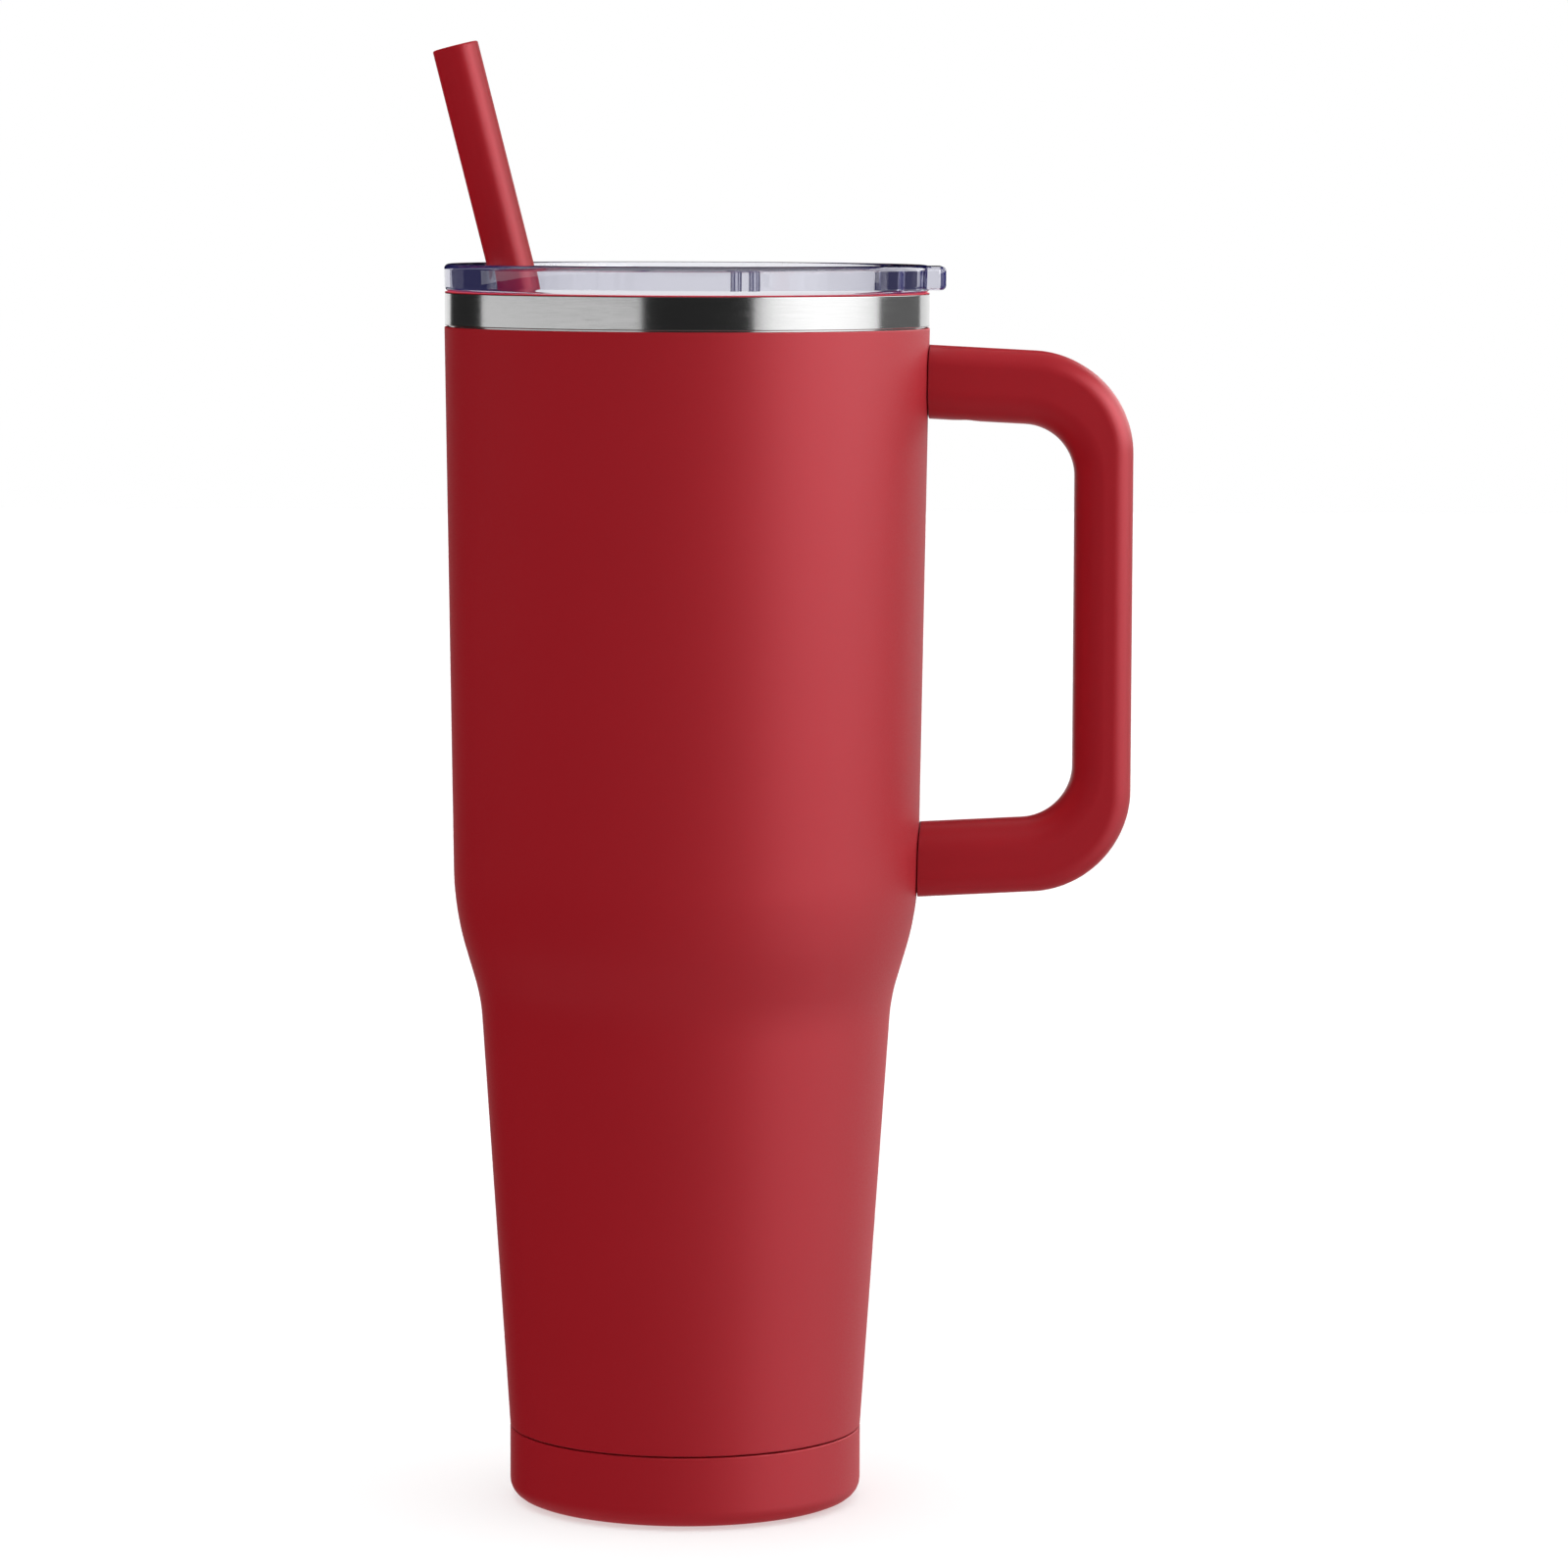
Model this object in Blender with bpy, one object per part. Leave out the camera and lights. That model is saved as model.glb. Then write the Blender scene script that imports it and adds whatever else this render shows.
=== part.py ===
"""Insulated travel mug: a vacuum-walled steel tumbler with a side handle, a clear press-in lid and a straw.

Metres, +Z up. The origin is the middle of the foot pad's underside, and the handle points along +X.
"""

import math

import bmesh
import bpy
from mathutils import Matrix, Vector

# Fits and facets
FIT_GAP = 0.0003  # left between two pieces that touch on the real mug
TURN_STEPS = 40  # facets round a large turned piece
SMALL_TURN_STEPS = 24  # facets round the straw and the small round pieces
ARC_SAG = 0.0001  # how far a chord of a rounded corner may lie inside its arc
SHARP_ANGLE = math.radians(32)  # edges sharper than this stay creased
CORNER_SHARE = 0.48  # most of an outline's side that one rounded corner may take up
MERGE_DISTANCE = 1e-6  # points nearer than this are one point
PASS_THROUGH = 0.0050  # how far a cutter runs past the wall it cuts
AXIS_SIZE = 0.0300  # drawn size of the empties that carry the pieces

# Coated steel shell, measured on its outside
RIM_DIAMETER = 0.1010
COAT_TOP = 0.2470  # height of the coating's upper edge
BODY_TAPER = 0.0038  # how much narrower the shoulder is than the rim
SHOULDER_HEIGHT = 0.1252
SHOULDER_ROUND = 0.063
FOOT_TAPER = 0.0122  # how much wider the waist is than the base
WAIST_HEIGHT = 0.1066
WAIST_ROUND = 0.039
BASE_DIAMETER = 0.0740
SHELL_WALL = 0.0006
SHELL_EDGE_ROUND = 0.0003

# Steel liner, with the turned-out lip that shows as a bare band above the coating
LINER_WALL = 0.0005
VACUUM_GAP = 0.0030  # between shell and liner
BASE_VACUUM_GAP = 0.0013  # the same, where the shell steps in under the boot
LINER_FLOOR = 0.0126  # height of the inside floor
LINER_CORNER = 0.0078  # inside corner between floor and wall
BAND_HEIGHT = 0.0066
BAND_INSET = 0.0004  # the bare band lies this far inside the coating
LIP_ROUND = 0.0010
LIP_WALL = 0.0012
WELD_LAP = 0.0040  # how far the liner's collar reaches down inside the shell
SEAT_RUN_OUT = 0.0040  # straight liner wall left below the lid's plug

# Copper foil wrapped round the liner
FOIL_WALL = 0.0002
FOIL_TOP_DROP = 0.0060  # below the straight mouth of the liner
FOIL_BOTTOM_RISE = 0.0180  # above the liner's floor

# Outer bottom, getter and evacuation seal
PLATE_WALL = 0.0006
PLATE_RIM_HEIGHT = 0.0040
DIMPLE_DIAMETER = 0.0120
DIMPLE_DEPTH = 0.0016
SEAL_HOLE_DIAMETER = 0.0022
SEAL_BEAD_DIAMETER = 0.0070
SEAL_BEAD_HEIGHT = 0.0012
GETTER_DIAMETER = 0.0080
GETTER_HEIGHT = 0.0020
GETTER_OFFSET = 0.0180  # from the axis

# Boot and foot pad
BOOT_HEIGHT = 0.0155  # height of the boot's upper edge
BOOT_WALL = 0.0012
BOOT_FLOOR = 0.0012  # above the pad's pocket
BOOT_ROUND = 0.0036
PAD_DIAMETER = 0.0600
PAD_THICKNESS = 0.0014
PAD_PROUD = 0.0006  # how far the pad stands below the boot
PAD_EDGE_ROUND = 0.0003

# Handle, moulded as one arch
HANDLE_DROP = 0.0036  # from the coating's upper edge down to the upper arm
HANDLE_SPAN = 0.0998  # between the two arms' middles at the shell
ARM_HEIGHT = 0.01525
ARM_SLOPE = math.radians(2.9)  # both arms lean towards the grip's middle
HANDLE_WIDTH = 0.0160
FINGER_ROOM = 0.0304  # from the rim's outside to the grip
GRIP_THICKNESS = 0.0120
OUTER_BEND = 0.0212
INNER_BEND = 0.0110
OUTER_ROUND = 0.0042  # edge rounding along the outside of the arch
INNER_ROUND = 0.0062  # edge rounding along the finger side
HANDLE_ROUND_STEPS = 4

# Brackets welded to the shell inside the handle's ends, with their screws and plugs
SADDLE_WIDTH = 0.0104
SADDLE_HEIGHT = 0.0084
SADDLE_THICKNESS = 0.0014
TONGUE_LENGTH = 0.0150
TONGUE_WIDTH = 0.0080
TONGUE_HEIGHT = 0.0050
SCREW_REACH = 0.0080  # from the shell to the screw's axis
SCREW_DIAMETER = 0.0030
SCREW_BITE = 0.0044  # how far the screw runs into the tongue
SCREW_HEAD_DIAMETER = 0.0052
SCREW_HEAD_HEIGHT = 0.0016
SCREW_SHELF = 0.0010  # handle wall that the screw's head clamps
PLUG_DIAMETER = 0.0060
PLUG_RECESS = 0.0003  # the plug ends this far inside the arm's underside

# Clear lid
LID_OVERHANG = 0.0001  # the flange stands this far outside the coating
FLANGE_HEIGHT = 0.0055
FLANGE_ROUND = 0.0011
RECESS_DEPTH = 0.0075  # from the flange's top down to the deck
RECESS_DRAFT = 0.0001  # the recess widens by this towards its top
RECESS_CORNER = 0.0008
RECESS_WALL = 0.0028  # from the recess out to the skirt's outside, at the deck
DECK_WALL = 0.0022
SKIRT_DEPTH = 0.0136  # from the steel lip down to the skirt's end
SKIRT_WALL = 0.0028  # below the deck
BEAD_HEIGHT = 0.0012  # of the bead that keeps the gasket on the skirt
TAB_REACH = 0.0031  # of the lift tab past the flange
TAB_WIDTH = 0.0180
TAB_CORNER = 0.0016
TAB_INSET = 0.0002  # the tab is this much lower than the flange on each side
TAB_ROUND = 0.0012

# Gasket
GASKET_WALL = 0.0006
GASKET_FLANGE = 0.0003
FIN_REACH = 0.0006
FIN_HEIGHT = 0.0018
FIN_COUNT = 2

# Slide closure and its guide on the deck
SLIDER_LENGTH = 0.0324
SLIDER_WIDTH = 0.0220
SLIDER_FLANGE = 0.0010
SLIDER_BODY_WIDTH = 0.0184
SLIDER_CORNER = 0.0020
SLIDER_TRAVEL = 0.0160
RIB_COUNT = 2
RIB_PITCH = 0.00375
RIB_THICKNESS = 0.0023
RIB_WIDTH = 0.0150
RIB_INSET = 0.0018  # from the slider's inner end to the first rib's middle
RIB_TOP_DROP = 0.0008  # the ribs end this far below the flange's top
RAIL_WALL = 0.0016
RAIL_LIP = 0.0007
SIP_LENGTH = 0.0140
SIP_WIDTH = 0.0090
SIP_COVER = 0.0034  # slider left past the opening's outer edge

# Straw
STRAW_DIAMETER = 0.0096
STRAW_WALL = 0.0012
STRAW_LENGTH = 0.3000
STRAW_EDGE_ROUND = 0.0004
STRAW_HOLE_CLEARANCE = 0.0006

# Radii and heights that follow from the sizes above
RIM_R = RIM_DIAMETER / 2
SHOULDER_R = (RIM_DIAMETER - BODY_TAPER) / 2
WAIST_R = (BASE_DIAMETER + FOOT_TAPER) / 2
BASE_R = BASE_DIAMETER / 2
LINER_INSET = SHELL_WALL + VACUUM_GAP
MOUTH_R = RIM_R - LINER_INSET - LINER_WALL
LIP_TOP = COAT_TOP + BAND_HEIGHT
PAD_POCKET_TOP = PAD_THICKNESS + FIT_GAP
BOOT_FLOOR_TOP = PAD_POCKET_TOP + BOOT_FLOOR
SPIGOT_R = BASE_R - BOOT_WALL - FIT_GAP
SPIGOT_BOTTOM = BOOT_FLOOR_TOP + FIT_GAP
SHELL_STEP = BOOT_HEIGHT + FIT_GAP
PLATE_R = SPIGOT_R - SHELL_WALL - FIT_GAP
PLATE_BOTTOM = SPIGOT_BOTTOM + FIT_GAP
LINER_BASE_R = SPIGOT_R - SHELL_WALL - BASE_VACUUM_GAP
LINER_BOTTOM = LINER_FLOOR - LINER_WALL

GASKET_FLANGE_BOTTOM = LIP_TOP + FIT_GAP
LID_SEAT = GASKET_FLANGE_BOTTOM + GASKET_FLANGE + FIT_GAP
LID_TOP = LID_SEAT + FLANGE_HEIGHT
FLANGE_R = RIM_R + LID_OVERHANG
DECK_TOP = LID_TOP - RECESS_DEPTH
DECK_BOTTOM = DECK_TOP - DECK_WALL
SKIRT_BOTTOM = LIP_TOP - SKIRT_DEPTH
MOUTH_SEAT_BOTTOM = SKIRT_BOTTOM - SEAT_RUN_OUT
GASKET_R = MOUTH_R - FIT_GAP - FIN_REACH - GASKET_WALL
SKIRT_R = GASKET_R - FIT_GAP
SKIRT_INNER_R = SKIRT_R - SKIRT_WALL
RECESS_R = SKIRT_R - RECESS_WALL
RECESS_TOP_R = RECESS_R + RECESS_DRAFT
BEAD_R = GASKET_R + GASKET_WALL / 2
BEAD_TOP = SKIRT_BOTTOM + BEAD_HEIGHT

SLIDER_BOTTOM = DECK_TOP + FIT_GAP
SLIDER_FLANGE_TOP = SLIDER_BOTTOM + SLIDER_FLANGE
RAIL_LIP_BOTTOM = SLIDER_FLANGE_TOP + FIT_GAP
RAIL_TOP = RAIL_LIP_BOTTOM + RAIL_LIP
SLIDER_END_R = RECESS_R - RECESS_CORNER - FIT_GAP
SLIDER_INNER_X = SLIDER_END_R - SLIDER_LENGTH
RAIL_INNER_Y = SLIDER_WIDTH / 2 + FIT_GAP
RAIL_OUTER_Y = RAIL_INNER_Y + RAIL_WALL
RAIL_LIP_Y = SLIDER_BODY_WIDTH / 2 + FIT_GAP
RAIL_STOP_X = SLIDER_INNER_X - SLIDER_TRAVEL - FIT_GAP
SIP_X = SLIDER_END_R - SIP_COVER - SIP_WIDTH / 2

GRIP_INNER_X = RIM_R + FINGER_ROOM
GRIP_OUTER_X = GRIP_INNER_X + GRIP_THICKNESS
HALF_ARM = ARM_HEIGHT / 2 / math.cos(ARM_SLOPE)  # measured upright
UPPER_ARM_Z = COAT_TOP - HANDLE_DROP - ARM_HEIGHT / 2
LOWER_ARM_Z = UPPER_ARM_Z - HANDLE_SPAN


def straw_line():
    """The straw's foot (x, z) on the liner's floor and its lean, so that it rests on the recess's rounded edge."""
    foot_x = LINER_BASE_R - LINER_WALL - LINER_CORNER
    radius = STRAW_DIAMETER / 2
    reach = radius + FIT_GAP + FLANGE_ROUND  # from the straw's axis to the middle of the edge's rounding
    lean = 0.0
    for _ in range(20):
        foot_z = LINER_FLOOR + FIT_GAP + radius * math.sin(lean)
        rim_x = RECESS_TOP_R + FLANGE_ROUND - (reach - FLANGE_ROUND * math.sin(lean)) / math.cos(lean)
        lean = math.atan2(foot_x + rim_x, LID_TOP - foot_z)
    return foot_x, foot_z, lean


STRAW_FOOT_X, STRAW_FOOT_Z, STRAW_LEAN = straw_line()


def clear_scene():
    for obj in list(bpy.data.objects):
        bpy.data.objects.remove(obj)


def surface(name, colour, roughness, metallic=0.0, transmission=0.0):
    """A plain Principled material."""
    material = bpy.data.materials.new(name)
    material.use_nodes = True
    shader = material.node_tree.nodes["Principled BSDF"]
    shader.inputs["Base Color"].default_value = (*colour, 1.0)
    shader.inputs["Roughness"].default_value = roughness
    shader.inputs["Metallic"].default_value = metallic
    shader.inputs["Transmission Weight"].default_value = transmission
    material.diffuse_color = (*colour, 1.0)
    return material


def between(low, high, z):
    """The radius at height z on the straight line from (radius, height) low to high."""
    return low[0] + (high[0] - low[0]) * (z - low[1]) / (high[1] - low[1])


def rounded(corners):
    """The open outline through corners (across, up) or (across, up, round), with the round ones as arcs."""
    points = []
    for index, corner in enumerate(corners):
        here = Vector(corner[:2])
        if len(corner) == 2:
            points.append(tuple(here))
            continue
        back = Vector(corners[index - 1][:2]) - here
        ahead = Vector(corners[index + 1][:2]) - here
        turn = math.pi - back.angle(ahead)
        reach = corner[2] * math.tan(turn / 2)
        reach = min(reach, CORNER_SHARE * back.length, CORNER_SHARE * ahead.length)
        radius = reach / math.tan(turn / 2)
        back.normalize()
        ahead.normalize()
        middle = here + (back + ahead).normalized() * (radius / math.cos(turn / 2))
        spoke = here + back * reach - middle
        way = math.copysign(1.0, back.cross(ahead))
        steps = math.ceil(turn / (2 * math.acos(1 - ARC_SAG / radius)))
        for step in range(steps + 1):
            points.append(tuple(middle + Matrix.Rotation(-way * turn * step / steps, 2) @ spoke))
    return points


def turned(outline, steps=TURN_STEPS, centre=(0, 0)):
    """A solid turned about a vertical axis. An outline that doesn't start on the axis is a closed ring."""
    shape = bmesh.new()
    verts = [shape.verts.new((radius, 0, z)) for radius, z in outline]
    edges = [shape.edges.new(pair) for pair in zip(verts, verts[1:])]
    if outline[0][0] > 0:
        edges.append(shape.edges.new((verts[-1], verts[0])))
    bmesh.ops.spin(
        shape, geom=verts + edges, cent=(0, 0, 0), axis=(0, 0, 1), angle=math.tau, steps=steps, use_merge=True
    )
    bmesh.ops.remove_doubles(shape, verts=shape.verts, dist=MERGE_DISTANCE)
    bmesh.ops.translate(shape, verts=shape.verts, vec=(*centre, 0))
    return shape


def disc(diameter, bottom, top, centre=(0, 0)):
    """A short round bar standing upright."""
    radius = diameter / 2
    return turned([(0, top), (radius, top), (radius, bottom), (0, bottom)], SMALL_TURN_STEPS, centre)


def prism(outline, plane, start, end):
    """An outline (a, b) in the XY, XZ or YZ plane, drawn out along the third axis from start to end."""
    along = {"XY": Vector((0, 0, 1)), "XZ": Vector((0, 1, 0)), "YZ": Vector((1, 0, 0))}[plane]
    across = {"XY": "xy", "XZ": "xz", "YZ": "yz"}[plane]
    shape = bmesh.new()
    verts = []
    for a, b in outline:
        point = along * start
        setattr(point, across[0], a)
        setattr(point, across[1], b)
        verts.append(shape.verts.new(point))
    drawn = bmesh.ops.extrude_face_region(shape, geom=[shape.faces.new(verts)])
    moved = [item for item in drawn["geom"] if isinstance(item, bmesh.types.BMVert)]
    bmesh.ops.translate(shape, verts=moved, vec=along * (end - start))
    return shape


def box(low, high):
    """An upright box between two corners."""
    outline = [(low[0], low[1]), (high[0], low[1]), (high[0], high[1]), (low[0], high[1])]
    return prism(outline, "XY", low[2], high[2])


def plate_outline(low, high, corner):
    """A rectangle from corner low to corner high with all four corners rounded."""
    middle = ((low[0] + high[0]) / 2, low[1])
    corners = [(high[0], low[1], corner), (*high, corner), (low[0], high[1], corner), (*low, corner)]
    return rounded([middle, *corners, middle])[:-1]


def bevel_edges(shape, chosen, size, steps):
    """Rounds the edges that chosen(edge) picks."""
    edges = [edge for edge in shape.edges if chosen(edge)]
    bmesh.ops.bevel(
        shape, geom=edges, offset=size, segments=steps, profile=0.5, affect="EDGES", clamp_overlap=True
    )


def add(name, shape, finish, parent, origin=(0, 0, 0)):
    """A named object from a shape in world coordinates, with its origin at the point given."""
    bmesh.ops.recalc_face_normals(shape, faces=shape.faces)
    bmesh.ops.translate(shape, verts=shape.verts, vec=-Vector(origin))
    mesh = bpy.data.meshes.new(name)
    shape.to_mesh(mesh)
    shape.free()
    mesh.shade_smooth()
    mesh.set_sharp_from_angle(angle=SHARP_ANGLE)
    obj = bpy.data.objects.new(name, mesh)
    bpy.context.scene.collection.objects.link(obj)
    obj.location = origin
    if finish:
        mesh.materials.append(finish)
    if parent:
        obj.parent = parent
        obj.matrix_parent_inverse = Matrix.Translation(-parent.location)
    return obj


def helper(name, shape):
    """A shape that only takes part in Booleans."""
    obj = add(name, shape, None, None)
    obj.hide_render = True
    obj.display_type = "WIRE"
    return obj


def combine(target, operation, helpers):
    """Joins, cuts or trims the target with all these helpers in one Boolean."""
    group = bpy.data.collections.new(f"{target.name}_{operation.lower()}")
    bpy.context.scene.collection.children.link(group)
    for obj in helpers:
        group.objects.link(obj)
    modifier = target.modifiers.new(group.name, "BOOLEAN")
    modifier.operation = operation
    modifier.operand_type = "COLLECTION"
    modifier.collection = group


def axis_empty(name, location, parent=None):
    empty = bpy.data.objects.new(name, None)
    empty.empty_display_size = AXIS_SIZE
    bpy.context.scene.collection.objects.link(empty)
    empty.location = location
    if parent:
        empty.parent = parent
    return empty


def shell_corners(inset):
    """The shell's side from rim to base, moved inwards by inset."""
    return [
        (RIM_R - inset, COAT_TOP),
        (SHOULDER_R - inset, SHOULDER_HEIGHT, SHOULDER_ROUND - inset),
        (WAIST_R - inset, WAIST_HEIGHT, WAIST_ROUND + inset),
        (BASE_R - inset, SHELL_STEP),
    ]


def liner_corners(inset):
    """The liner's side from its straight mouth to its base corner, moved inwards by inset."""
    depth = LINER_INSET + inset
    return [
        (RIM_R - depth, MOUTH_SEAT_BOTTOM),
        (SHOULDER_R - depth, SHOULDER_HEIGHT, SHOULDER_ROUND - depth),
        (WAIST_R - depth, WAIST_HEIGHT, WAIST_ROUND + depth),
        (LINER_BASE_R - inset, LINER_BOTTOM + inset, LINER_CORNER + LINER_WALL - inset),
    ]


def shell_radius(z):
    """The coating's radius at height z."""
    side = rounded(shell_corners(0))
    for upper, lower in zip(side, side[1:]):
        if lower[1] <= z <= upper[1]:
            return between(lower, upper, z)
    return RIM_R


def outer_shell(finish, parent):
    outside = shell_corners(0)
    inside = shell_corners(SHELL_WALL)
    top_outer = (RIM_R, COAT_TOP, SHELL_EDGE_ROUND)
    step_inner = between(inside[2], inside[3], SHELL_STEP + SHELL_WALL)
    outline = [
        (RIM_R - SHELL_WALL, COAT_TOP),
        top_outer,
        *outside[1:],
        (SPIGOT_R, SHELL_STEP),
        (SPIGOT_R, SPIGOT_BOTTOM),
        (SPIGOT_R - SHELL_WALL, SPIGOT_BOTTOM),
        (SPIGOT_R - SHELL_WALL, SHELL_STEP + SHELL_WALL),
        (step_inner, SHELL_STEP + SHELL_WALL),
        *reversed(inside[1:3]),
        (RIM_R - SHELL_WALL, COAT_TOP),
    ]
    return add("outer_shell", turned(rounded(outline)[:-1]), finish, parent)


def inner_liner(finish, parent):
    band_r = RIM_R - BAND_INSET
    collar_r = RIM_R - SHELL_WALL - FIT_GAP
    band_bottom = COAT_TOP + FIT_GAP
    collar_bottom = COAT_TOP - WELD_LAP
    outline = [
        (0, LINER_FLOOR),
        *reversed(liner_corners(LINER_WALL)),
        (MOUTH_R, LIP_TOP, LIP_ROUND),
        (band_r, LIP_TOP, LIP_ROUND),
        (band_r, band_bottom),
        (collar_r, band_bottom),
        (collar_r, collar_bottom),
        (collar_r - LINER_WALL, collar_bottom),
        (collar_r - LINER_WALL, LIP_TOP - LIP_WALL),
        (MOUTH_R + LINER_WALL, LIP_TOP - LIP_WALL),
        *liner_corners(0),
        (0, LINER_BOTTOM),
    ]
    return add("inner_liner", turned(rounded(outline)), finish, parent)


def heat_shield_foil(finish, parent):
    top = MOUTH_SEAT_BOTTOM - FOIL_TOP_DROP
    bottom = LINER_FLOOR + FOIL_BOTTOM_RISE

    def side(gap):
        mouth, shoulder, waist, base = liner_corners(-gap)
        return [(between(shoulder, mouth, top), top), shoulder, waist, (between(base, waist, bottom), bottom)]

    inner, outer = side(FIT_GAP), side(FIT_GAP + FOIL_WALL)
    return add("heat_shield_foil", turned(rounded(outer + inner[::-1])), finish, parent)


def base_plate(finish, parent):
    dimple_r = DIMPLE_DIAMETER / 2
    dimple_inner_r = dimple_r - DIMPLE_DEPTH
    hole_r = SEAL_HOLE_DIAMETER / 2
    top = PLATE_BOTTOM + PLATE_WALL
    rim_top = PLATE_BOTTOM + PLATE_RIM_HEIGHT
    outline = [
        (hole_r, top + DIMPLE_DEPTH),
        (dimple_inner_r, top + DIMPLE_DEPTH),
        (dimple_r, top),
        (PLATE_R - PLATE_WALL, top),
        (PLATE_R - PLATE_WALL, rim_top),
        (PLATE_R, rim_top),
        (PLATE_R, PLATE_BOTTOM),
        (dimple_r, PLATE_BOTTOM),
        (dimple_inner_r, PLATE_BOTTOM + DIMPLE_DEPTH),
        (hole_r, PLATE_BOTTOM + DIMPLE_DEPTH),
    ]
    return add("base_plate", turned(outline), finish, parent)


def seal_bead(finish, parent):
    top = PLATE_BOTTOM + DIMPLE_DEPTH - FIT_GAP
    return add("seal_bead", disc(SEAL_BEAD_DIAMETER, top - SEAL_BEAD_HEIGHT, top), finish, parent)


def getter(finish, parent):
    bottom = PLATE_BOTTOM + PLATE_WALL + FIT_GAP
    shape = disc(GETTER_DIAMETER, bottom, bottom + GETTER_HEIGHT, (GETTER_OFFSET, 0))
    return add("getter", shape, finish, parent)


def base_cap(finish, parent):
    pocket_r = PAD_DIAMETER / 2 + FIT_GAP
    inner_r = BASE_R - BOOT_WALL
    outline = [
        (0, BOOT_FLOOR_TOP),
        (inner_r, BOOT_FLOOR_TOP),
        (inner_r, BOOT_HEIGHT),
        (BASE_R, BOOT_HEIGHT, SHELL_EDGE_ROUND),
        (BASE_R, PAD_PROUD, BOOT_ROUND),
        (pocket_r, PAD_PROUD),
        (pocket_r, PAD_POCKET_TOP),
        (0, PAD_POCKET_TOP),
    ]
    return add("base_cap", turned(rounded(outline)), finish, parent)


def base_pad(finish, parent):
    radius = PAD_DIAMETER / 2
    outline = [(0, PAD_THICKNESS), (radius, PAD_THICKNESS), (radius, 0, PAD_EDGE_ROUND), (0, 0)]
    return add("base_pad", turned(rounded(outline)), finish, parent)


def shell_clearance():
    """A solid core as wide as the coated shell plus a fit gap, which cuts what stands against the shell."""
    side = shell_corners(-FIT_GAP)
    top = LIP_TOP + PASS_THROUGH
    outline = [(0, top), (side[0][0], top), *side, (0, SHELL_STEP)]
    return helper("shell_clearance", turned(rounded(outline)))


def arm_height(arm_z, x):
    """Height at x of the middle of the arm that meets the rim's radius at arm_z."""
    lean = math.copysign(math.tan(ARM_SLOPE), arm_z - (UPPER_ARM_Z + LOWER_ARM_Z) / 2)
    return arm_z - lean * (x - RIM_R)


def handle_shape():
    """The arch drawn in the XZ plane, stretched across Y, with its long edges rounded."""
    root_x = RIM_R - TONGUE_LENGTH
    outer = rounded(
        [
            (root_x, arm_height(UPPER_ARM_Z, root_x) + HALF_ARM),
            (GRIP_OUTER_X, arm_height(UPPER_ARM_Z, GRIP_OUTER_X) + HALF_ARM, OUTER_BEND),
            (GRIP_OUTER_X, arm_height(LOWER_ARM_Z, GRIP_OUTER_X) - HALF_ARM, OUTER_BEND),
            (root_x, arm_height(LOWER_ARM_Z, root_x) - HALF_ARM),
        ]
    )
    inner = rounded(
        [
            (root_x, arm_height(LOWER_ARM_Z, root_x) + HALF_ARM),
            (GRIP_INNER_X, arm_height(LOWER_ARM_Z, GRIP_INNER_X) + HALF_ARM, INNER_BEND),
            (GRIP_INNER_X, arm_height(UPPER_ARM_Z, GRIP_INNER_X) - HALF_ARM, INNER_BEND),
            (root_x, arm_height(UPPER_ARM_Z, root_x) - HALF_ARM),
        ]
    )
    shape = prism(outer + inner, "XZ", -HANDLE_WIDTH / 2, HANDLE_WIDTH / 2)

    def on_side(edge, line):
        """Whether an edge of the two flat sides runs along this line of the outline."""
        if abs(edge.verts[0].co.y - edge.verts[1].co.y) > FIT_GAP:
            return False
        near = [min((Vector(point) - vert.co.xz).length for point in line) for vert in edge.verts]
        return max(near) < FIT_GAP

    bevel_edges(shape, lambda edge: on_side(edge, outer), OUTER_ROUND, HANDLE_ROUND_STEPS)
    bevel_edges(shape, lambda edge: on_side(edge, inner), INNER_ROUND, HANDLE_ROUND_STEPS)
    return shape


def bracket_shapes(arm_z, gap):
    """The saddle and the tongue of one bracket, grown by gap on every side."""
    wall_x = shell_radius(arm_z)
    root_x = wall_x - PASS_THROUGH

    def bar(width, height, end_x):
        low = (root_x, -width / 2 - gap, arm_z - height / 2 - gap)
        return box(low, (end_x + gap, width / 2 + gap, arm_z + height / 2 + gap))

    saddle = bar(SADDLE_WIDTH, SADDLE_HEIGHT, wall_x + SADDLE_THICKNESS)
    tongue = bar(TONGUE_WIDTH, TONGUE_HEIGHT, wall_x + TONGUE_LENGTH)
    return saddle, tongue


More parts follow.
